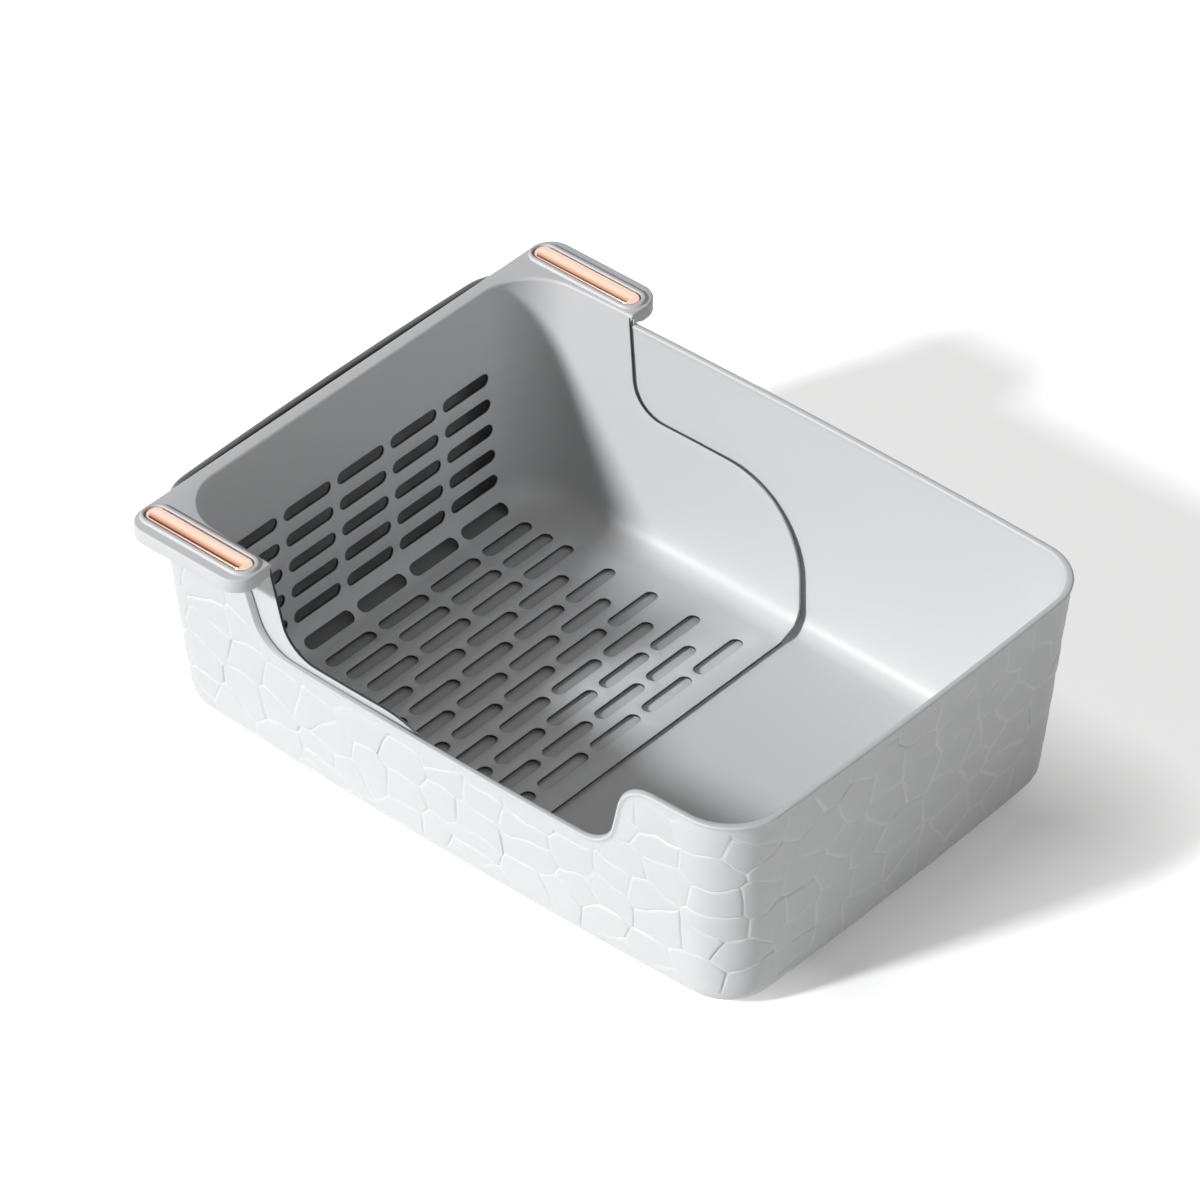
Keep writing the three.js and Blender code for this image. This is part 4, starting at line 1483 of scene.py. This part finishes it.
# %% [markdown]
# Filling the skins
#
# With the borders settled, each skin is filled. Every slot is a hole in it, grown by the edge's
# rounding, because the rounding belongs to the strip inside the hole.

# %% The skins of the sheet
WALL_FIRST, WALL_GRID = (10, 5), 9
BEND_ALONG, BEND_UP, CORNER_GRID = 8, 3.5, 4
OVER_BEND, BEND_OVERLAP, EDGE_ROOM = 4, 2, 2


def tray_wall(depth):
    """One skin of the bent-up walls, around the slots."""
    bottom = np.column_stack([bottom_s, np.zeros(len(bottom_s))])
    top = np.column_stack([top_s, np.full(len(top_s), TOP_V)])
    loop = np.concatenate([bottom, back_border[1:-1], top[::-1], front_border[-2:0:-1]])
    holes = [wall_slot_line(place, grown) for place in wall_slots()]
    us = np.arange(WALL_FIRST[0], TRAY_MARKS[-1], WALL_GRID)
    vs = [v for v in np.arange(WALL_FIRST[1], TOP_V, WALL_GRID) if v > TRAY_BEND + OVER_BEND]
    bend_us = np.arange(WALL_FIRST[0], TRAY_MARKS[-1], BEND_ALONG)
    bend_vs = np.arange(BEND_UP, TRAY_BEND + BEND_OVERLAP, BEND_UP)
    corner_us = np.arange(TRAY_MARKS[1], TRAY_MARKS[2], CORNER_GRID)
    bend = [(u, v) for u in bend_us for v in bend_vs]
    grid = [(u, v) for u in us for v in vs]
    corners = [(u, v) for u in corner_us for v in vs]
    corners += [(TRAY_MARKS[-1] - u, v) for u, v in corners]
    loose = np.array(bend + grid + corners)
    inside = loose[:, 1] < np.interp(loose[:, 0], *edge_profile()) - EDGE_ROOM
    places, faces = fill([], [loop] + holes, loose[inside])
    return tray_point(places[:, 0], places[:, 1], depth), faces


def tray_floor(depth):
    """One skin of the floor, around the slots."""
    ring = tray_point(bottom_s, 0, depth)
    z = ring[0, 2]
    across = open_edge_ys()
    open_edge = np.column_stack([np.full(len(across), TRAY_OPEN_X - grown), across])[::-1]
    loop = np.concatenate([ring[:, :2], open_edge])
    holes = [floor_slot_line(place, grown) for place in floor_slots()]
    places, faces = fill([], [loop] + holes, np.zeros((0, 2)))
    return np.column_stack([places, np.full(len(places), z)]), faces


sheet_patches = [tray_wall(0), tray_wall(1), tray_floor(0), tray_floor(1)]
print("the four skins have", [len(faces) for _, faces in sheet_patches], "faces")

# %% [markdown]
# The sheet's edges
#
# Six rings of points lead round each slot from one skin to the other, and six lines follow the open
# edge down one side wall, across the floor and up the other. They only need strips of faces.

# %% The walls of the slots and the open edge
def slot_walls():
    """The rounded wall of every slot, with painted shade on its rings."""
    out = []
    for place in floor_slots():
        rings = []
        for k, (grow, _) in enumerate(EDGE_ROUND):
            line = floor_slot_line(place, grow)
            z = TRAY_TOP - TRAY_FLOOR * round_share(k, TRAY_FLOOR)
            rings.append(np.column_stack([line, np.full(len(line), z)]))
        out.append(toned(strip(rings)))
    for place in wall_slots():
        lines = [wall_slot_line(place, grow) for grow, _ in EDGE_ROUND]
        skins = [round_share(k, TRAY_WALL) for k in range(len(lines))]
        out.append(toned(strip([tray_point(*line.T, skin) for line, skin in zip(lines, skins)])))
    return out


def sheet_edge():
    """The rounded open edge: down the front wall, across the floor and up the back wall."""
    rings = []
    for k, (grow, _) in enumerate(EDGE_ROUND):
        front = front_line + into_sheet * grow
        back = mirrored(front)
        wall_share = round_share(k, TRAY_WALL)
        across = open_edge_ys()
        z = TRAY_TOP - TRAY_FLOOR * round_share(k, TRAY_FLOOR)
        floor_part = np.column_stack([
            np.full(len(across), TRAY_OPEN_X - grow), across, np.full(len(across), z)])
        rings.append(np.concatenate([
            tray_point(front[::-1, 0], front[::-1, 1], wall_share), floor_part,
            tray_point(back[:, 0], back[:, 1], wall_share)]))
    places, faces = strip(rings, closed=False)
    height = rings[0][:, 2]
    # Low on the curve the painted shade moves to the far ring of the edge.
    lobe = (1 - ease(*LOBE_HEIGHTS, height)) * (height > TRAY_TOP + 1)
    tones = EDGE_PAINTED_SHADE[:, None] * (1 - lobe) + LOBE_PAINTED_SHADE[:, None] * lobe
    return (places, faces, tones.ravel()), rings


edge_strip, edge_rings = sheet_edge()
top_rings = [tray_point(top_s, TOP_V, 0), tray_point(top_s, TOP_V, 1)]
one_face = [list(range(len(edge_rings)))]
ends = [(np.array([ring[side] for ring in edge_rings]), one_face) for side in (0, -1)]
sheet_patches += [edge_strip, strip(top_rings, closed=False)] + slot_walls() + ends
print("the sheet has", len(sheet_patches), "patches")

# %% [markdown]
# The flange and the grips
#
# Along the end wall the sheet turns over into a flange, and at each side it widens into a grip: a
# plate with a skirt all round, like an upturned lid, so that fingers find an edge below. A collar
# stands up round the metal bar. The section is carried along the plate's outline, and the flat top
# is filled between the outline and the collars.

# %% The plate's outline
GRIP_LEFT, GRIP_RIGHT, GRIP_HALF, GRIP_CORNER = -252, -146, 214.5, 17
INNER_ROUND = 1.9
OUTLINE_TURN, OUTLINE_STEP = 2, 5
END_ROOM = 0.6


def plate_corners():
    """The outside of the plate, from the front wall's open end round to the back wall's."""
    r = GRIP_CORNER
    reach = abs(float(tray_point(front_border[-1, 0], TOP_V, 1)[1]))
    corners = [
        (GRIP_RIGHT, -reach - END_ROOM, 0), (GRIP_RIGHT, -GRIP_HALF, r), (GRIP_LEFT, -GRIP_HALF, r),
        (GRIP_LEFT, GRIP_HALF, r), (GRIP_RIGHT, GRIP_HALF, r), (GRIP_RIGHT, reach + END_ROOM, 0),
    ]
    return spaced(rounded_line(corners, OUTLINE_TURN), OUTLINE_STEP)


def pan_depth(points):
    """How far places lie inside the pan's rim."""
    half = np.array([PAN_LENGTH / 2 - END_BOW, PAN_WIDTH / 2 - SIDE_BOW])
    bow = SIDE_BOW * np.maximum(0, 1 - (points[:, 0] / half[0]) ** 2)
    room = np.column_stack([half[0] - abs(points[:, 0]), half[1] + bow - abs(points[:, 1])])
    corner = CORNER_RADIUS - room
    in_corner = (corner > 0).all(1)
    return np.where(in_corner, CORNER_RADIUS - np.linalg.norm(corner, axis=1), room.min(1))


def plate_loop():
    """Stations round the plate, and for each the way into the plate."""
    outside = plate_corners()
    turns = np.gradient(outside, axis=0)
    turns /= np.linalg.norm(turns, axis=1, keepdims=True)
    into = np.column_stack([turns[:, 1], -turns[:, 0]])
    return outside, into


plate_outside, plate_into = plate_loop()
longer = GRIP_RIGHT - SIDE_LINE[-1][0]
inner_s = tray_stations(
    TOP_STEP, TURN_STEP,
    front_border[-1, 0] - longer - grown,
    back_border[-1, 0] + longer + grown)
print(len(plate_outside), "stations outside and", len(inner_s), "along the tray's wall")

# %% [markdown]
# The skirt
#
# The section has twelve points: over the outer edge, down the outside of the skirt, under it and up
# its inside. Where the skirt crosses the pan's rim it ends higher, so that it lies on the bead.
# Along the tray's own wall there is no skirt, and the same twelve points turn the flat down into
# the wall.

# %% The skirt's section round the plate
SKIRT = [
    (1.5, 185.5), (0.85, 185.36), (0.35, 185.0), (0.06, 184.45), (0, 183.8), (0, 175.2), (0.2, 174.6),
    (0.7, 174.3), (1.8, 174.3), (2.3, 174.6), (2.5, 175.2), (2.5, 183),
]
PLAIN = [
    (1.5, 185.5), (0.85, 185.36), (0.35, 185.0), (0.06, 184.45), (0, 183.8), (0, 183.6), (0, 183.4),
    (0, 183.3), (0, 183.2), (0.05, 183.1), (0.15, 183), (0.4, 183),
]
RIM_ROOM, ROOM_OUTSIDE, ROOM_INSIDE = 176.3, -1.2, 1.4
END_SHIFT, ROUND_STEPS, LOW_STEPS = 0.05, 4, 7


def skirt_ring(k):
    """One line of the section, once round: outside with its skirt, then back along the inner wall."""
    inset, z = SKIRT[k]
    depth = pan_depth(plate_outside)
    over_rim = (depth > ROOM_OUTSIDE) & (depth < LIP_PROUD + PAN_WALL + ROOM_INSIDE)
    z_here = np.where(over_rim & (z < RIM_ROOM), RIM_ROOM + (z - GRIP_UNDER), z)
    outer = np.column_stack([plate_outside + plate_into * inset, z_here])
    plain_inset, plain_z = PLAIN[k]
    ends = []
    for index in (-1, 0):
        place = plate_outside[index] + plate_into[index] * plain_inset
        ends.append(np.array([[place[0], place[1] - END_SHIFT * (1 if index else -1), plain_z]]))
    angle = (ROUND_STEPS - min(k, ROUND_STEPS)) / ROUND_STEPS * math.pi / 2
    drop = INNER_ROUND * (1 - math.sin(angle))
    reach = INNER_ROUND * (1 - math.cos(angle))
    if k <= ROUND_STEPS:
        z_inner = GRIP_TOP - drop
    else:
        below = len(SKIRT) - 1 - k
        z_inner = PLATE_UNDER + (GRIP_TOP - INNER_ROUND - PLATE_UNDER) * below / LOW_STEPS
    inner = tray_point(inner_s[::-1], tray_v(z_inner), reach / TRAY_WALL)
    return np.concatenate([outer, ends[0], inner, ends[1]])


rings = [skirt_ring(k) for k in range(len(SKIRT))]
print(len(rings), "rings of", len(rings[0]), "points make the plate's edge")

# %% [markdown]
# The collars and the flat of the plate
#
# A collar is a low lip that frames a bar, with a small radius at its foot and its top. It is one
# section at several distances round the bar. The plate's flat top is then filled between its outer
# edge and both collars, and the bed of each bar is a flat of its own.

# %% The collars and the flats
COLLAR = [
    (5.3, 185.5), (5.0, 185.55), (4.75, 185.7), (3.95, 186.85), (3.65, 187.15), (3.2, 187.3),
    (1.5, 187.3), (1.15, 187.15), (1.0, 186.8), (1.0, 184.3),
]
BAR_MIDDLE = (-200.2, 195.2)
BAR_HALF, BAR_END_RADIUS = (47, 7.3), 7
LEFT_ROOM, TRAY_ROOM, LEFT_SHARE = 2.4, 4.7, 0.2
TURN_STEPS, LONG_STEPS = 8, 10


def rounded_box(half_x, half_y, radius):
    """A box with round corners, always with the same number of points."""
    line = []
    for quarter, (sx, sy) in enumerate([(1, 1), (-1, 1), (-1, -1), (1, -1)]):
        for turn in (quarter + np.arange(TURN_STEPS + 1) / TURN_STEPS) * math.pi / 2:
            line.append((sx * (half_x - radius) + radius * math.cos(turn),
                         sy * (half_y - radius) + radius * math.sin(turn)))
        if quarter % 2 == 0:
            start, end = line[-1][0], -line[-1][0]
            side_y = line[-1][1]
            line += [(start + (end - start) * k / LONG_STEPS, side_y) for k in range(1, LONG_STEPS)]
    return np.array(line)


def collar_line(side, grow):
    """A line round a bar, which has less room on its left and towards the tray."""
    half = np.array(BAR_HALF) + grow
    line = rounded_box(*half, BAR_END_RADIUS + grow)
    left_grow = min(grow, LEFT_ROOM + max(0, grow - LEFT_ROOM) * LEFT_SHARE)
    line[:, 0] *= np.where(line[:, 0] < 0, (BAR_HALF[0] + left_grow) / half[0], 1)
    line[:, 1] *= np.where(line[:, 1] * side < 0, (BAR_HALF[1] + min(grow, TRAY_ROOM)) / half[1], 1)
    return line + [BAR_MIDDLE[0], side * BAR_MIDDLE[1]]


def at_height(line, z):
    """A flat line as places at a height."""
    return np.column_stack([line, np.full(len(line), z)])


def flat(loop, z, holes):
    """A level face inside a loop and around holes."""
    places, faces = fill([], [loop] + holes, np.zeros((0, 2)))
    return at_height(places, z), faces


feet = [collar_line(side, COLLAR[0][0]) for side in (-1, 1)]
grip_patches = [strip(rings), flat(rings[0][:, :2], GRIP_TOP, feet)]
grip_patches.append(flat(rings[-1][:, :2], PLATE_UNDER, []))
for side in (-1, 1):
    lines = [at_height(collar_line(side, grow), z) for grow, z in COLLAR]
    grip_patches.append(strip(lines))
    grip_patches.append(flat(lines[-1][:, :2], COLLAR[-1][1], []))
print("the plate has", len(grip_patches), "patches")

# %% [markdown]
# The tray in one piece
#
# Sheet and plate are two closed shells that overlap a little, like two mouldings fused into one.
# Joining them without cutting keeps their clean faces. Together they stand for the plain solid of
# the sifting tray, and they ride on the body that slides up out of the pan.

# %% The tray
SHEET_WELD, GRIPS_WELD, TRAY_SMOOTH = 0.012, 0.005, 45
tray = join_patches("tray", sheet_patches, SHEET_WELD)
grips = join_patches("grips", grip_patches, GRIPS_WELD)
bpy.ops.object.select_all(action="DESELECT")
for part in (grips, tray):
    part.select_set(True)
bpy.context.view_layer.objects.active = tray
bpy.ops.object.join()
tray.data.materials.append(tray_plastic)
bpy.ops.object.shade_smooth_by_angle(angle=math.radians(TRAY_SMOOTH))
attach(tray, "sifter")
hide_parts("sifting_tray")
print("tray of", len(tray.data.polygons), "faces")

# %% [markdown]
# Tools for modelling by hand
#
# The bars and the pads are simple forms, and Blender's own tools shape them well. These helpers do
# what a hand does in the window: select an object, pick some of its edges or faces, set its
# shading, and make a moved copy.

# %% Helpers for modelling by hand
STRAIGHT = 0.99


def select_only(*objects):
    """Selects these objects and makes the first one active."""
    bpy.ops.object.select_all(action="DESELECT")
    for one in objects:
        one.select_set(True)
    bpy.context.view_layer.objects.active = objects[0]


def pick(kind, wanted):
    """In edit mode, selects the vertices, edges or faces that a test accepts, and nothing else."""
    bpy.ops.mesh.select_mode(type=kind)
    bpy.ops.mesh.select_all(action="DESELECT")
    work = bmesh.from_edit_mesh(bpy.context.object.data)
    items = {"VERT": work.verts, "EDGE": work.edges, "FACE": work.faces}[kind]
    for item in items:
        item.select_set(bool(wanted(item)))
    bmesh.update_edit_mesh(bpy.context.object.data)


def upright(item):
    a, b = (v.co for v in item.verts)
    return abs((b - a).normalized().z) > STRAIGHT


def faces_up(item):
    return item.normal.z > STRAIGHT


def faces_down(item):
    return item.normal.z < -STRAIGHT


def settle(made, smooth_angle):
    """Puts the place into the mesh and shades it smooth up to an angle."""
    select_only(made)
    bpy.ops.object.transform_apply(location=True, rotation=True, scale=True)
    bpy.ops.object.shade_smooth_by_angle(angle=math.radians(smooth_angle))


def copy_to(made, name, shift):
    """A copy with its own mesh, moved in its mesh."""
    mesh = made.data.copy()
    mesh.transform(Matrix.Translation(Vector(shift)))
    copied = bpy.data.objects.new(name, mesh)
    bpy.context.scene.collection.objects.link(copied)
    return copied


print("faces count as level within", round(math.degrees(math.acos(STRAIGHT))), "degrees")

# %% [markdown]
# The rose-gold bars
#
# Each bar is a strip of plated metal with round ends, let into a grip and held by two pegs. Its top
# is slightly crowned and falls away in a broad round. A bar starts as a block. Its upright edges are
# bevelled until the ends are round, and its top is drawn in and raised in eight small steps, which
# give the crown. A fine bevel then softens what edges are left.

# %% The bars
BAR_SIZE = (94, 14.6)
BAR_LOW, BAR_SHOULDER = 184.6, 185.8
BAR_CROWN = [
    (0.5, 0.75), (0.45, 0.5), (0.5, 0.42), (0.6, 0.4),
    (0.8, 0.4), (1.0, 0.36), (1.2, 0.25), (1.3, 0.12),
]
BAR_SOFTNESS, SOFTEN_FROM, END_SEGMENTS, BAR_SMOOTH = 0.2, 12, 10, 25
PEG_SIDES = 24
PEG_RADIUS, PEG_LOW, PEG_HIGH, PEG_OFFSET = 2, 181.6, 185.2, 33.84


def make_bar():
    """The front bar: a crowned block with round ends, and its two pegs."""
    x, y = BAR_MIDDLE
    bpy.ops.object.select_all(action="DESELECT")
    middle = Vector((x, -y, (BAR_LOW + BAR_SHOULDER) / 2)) * MM
    size = Vector((*BAR_SIZE, BAR_SHOULDER - BAR_LOW)) * MM
    bpy.ops.mesh.primitive_cube_add(size=1, location=middle, scale=size)
    bar = bpy.context.object
    bar.name = "front_bar"
    bpy.ops.object.transform_apply(location=False, rotation=False, scale=True)
    bpy.ops.object.mode_set(mode="EDIT")
    pick("EDGE", upright)
    bpy.ops.mesh.bevel(offset=BAR_END_RADIUS * MM, segments=END_SEGMENTS, affect="EDGES")
    for inset, climb in BAR_CROWN:
        pick("FACE", lambda f: faces_up(f) and len(f.verts) > 4)
        bpy.ops.mesh.inset(thickness=inset * MM, depth=climb * MM)
    bpy.ops.object.mode_set(mode="OBJECT")
    soften = bar.modifiers.new("soften", "BEVEL")
    soften.width, soften.segments, soften.limit_method = BAR_SOFTNESS * MM, 3, "ANGLE"
    soften.angle_limit = math.radians(SOFTEN_FROM)
    bpy.ops.object.modifier_apply(modifier="soften")
    pegs = []
    for side in (-1, 1):
        bpy.ops.mesh.primitive_cylinder_add(
            vertices=PEG_SIDES, radius=PEG_RADIUS * MM, depth=(PEG_HIGH - PEG_LOW) * MM,
            location=Vector((x + side * PEG_OFFSET, -y, (PEG_LOW + PEG_HIGH) / 2)) * MM)
        pegs.append(bpy.context.object)
    select_only(bar, *pegs)
    bpy.ops.object.join()
    bar.data.materials.append(rose_metal)
    settle(bar, BAR_SMOOTH)
    return bar


front_bar = make_bar()
back_bar = copy_to(front_bar, "back_bar", (0, 2 * BAR_MIDDLE[1] * MM, 0))
for bar, node in ((front_bar, "front_grip_bar"), (back_bar, "back_grip_bar")):
    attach(bar, "sifter")
    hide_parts(node)
print("bars of", len(front_bar.data.polygons), "faces each")

# %% [markdown]
# The pads
#
# Four soft rubber discs under the base stop the pan from sliding. Their lower edge is rounded and
# their sole has ring-shaped grooves. One is made from a cylinder and copied to the other corners.

# %% The pads
PAD_RADIUS, PAD_HIGH, PAD_EDGE = 13, 2.1, 0.5
PAD_SIDES, PAD_SMOOTH = 64, 30
PAD_RINGS = [(2.4, 0), (0.3, -0.5), (1.0, 0), (0.3, 0.5), (2.2, 0), (0.3, -0.5), (1.0, 0), (0.3, 0.5)]


def make_pad():
    """The first pad: a disc with a rounded lower edge and grooves in its sole."""
    x, y = PAD_PLACES[0]
    bpy.ops.object.select_all(action="DESELECT")
    bpy.ops.mesh.primitive_cylinder_add(
        vertices=PAD_SIDES, radius=PAD_RADIUS * MM, depth=PAD_HIGH * MM,
        location=Vector((x, y, PAD_HIGH / 2)) * MM)
    pad = bpy.context.object
    pad.name = "front_left_sole"
    bpy.ops.object.mode_set(mode="EDIT")
    pick("EDGE", lambda e: all(v.co.z < 0 for v in e.verts))
    bpy.ops.mesh.bevel(offset=PAD_EDGE * MM, segments=4, affect="EDGES")
    for inset, climb in PAD_RINGS:
        pick("FACE", lambda f: faces_down(f) and len(f.verts) > 4)
        bpy.ops.mesh.inset(thickness=inset * MM, depth=climb * MM)
    bpy.ops.object.mode_set(mode="OBJECT")
    pad.data.materials.append(pad_rubber)
    settle(pad, PAD_SMOOTH)
    return pad


first_pad = make_pad()
corners = ["front_left", "front_right", "back_left", "back_right"]
for corner, (x, y) in zip(corners, PAD_PLACES):
    shift = (Vector((x, y, 0)) - Vector((*PAD_PLACES[0], 0))) * MM
    pad = first_pad if corner == corners[0] else copy_to(first_pad, corner + "_sole", shift)
    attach(pad, "pan")
    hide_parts(corner + "_pad")
print("pads of", len(first_pad.data.polygons), "faces each")

# %% [markdown]
# Sizes
#
# Last, the size of the dressed model is printed, in metres. It should agree closely with the size of
# the CAD solids, because the part is used at its real size.

# %% Sizes and finish
low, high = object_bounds()
print("dressed size in metres:", [round(b - a, 4) for a, b in zip(low, high)])
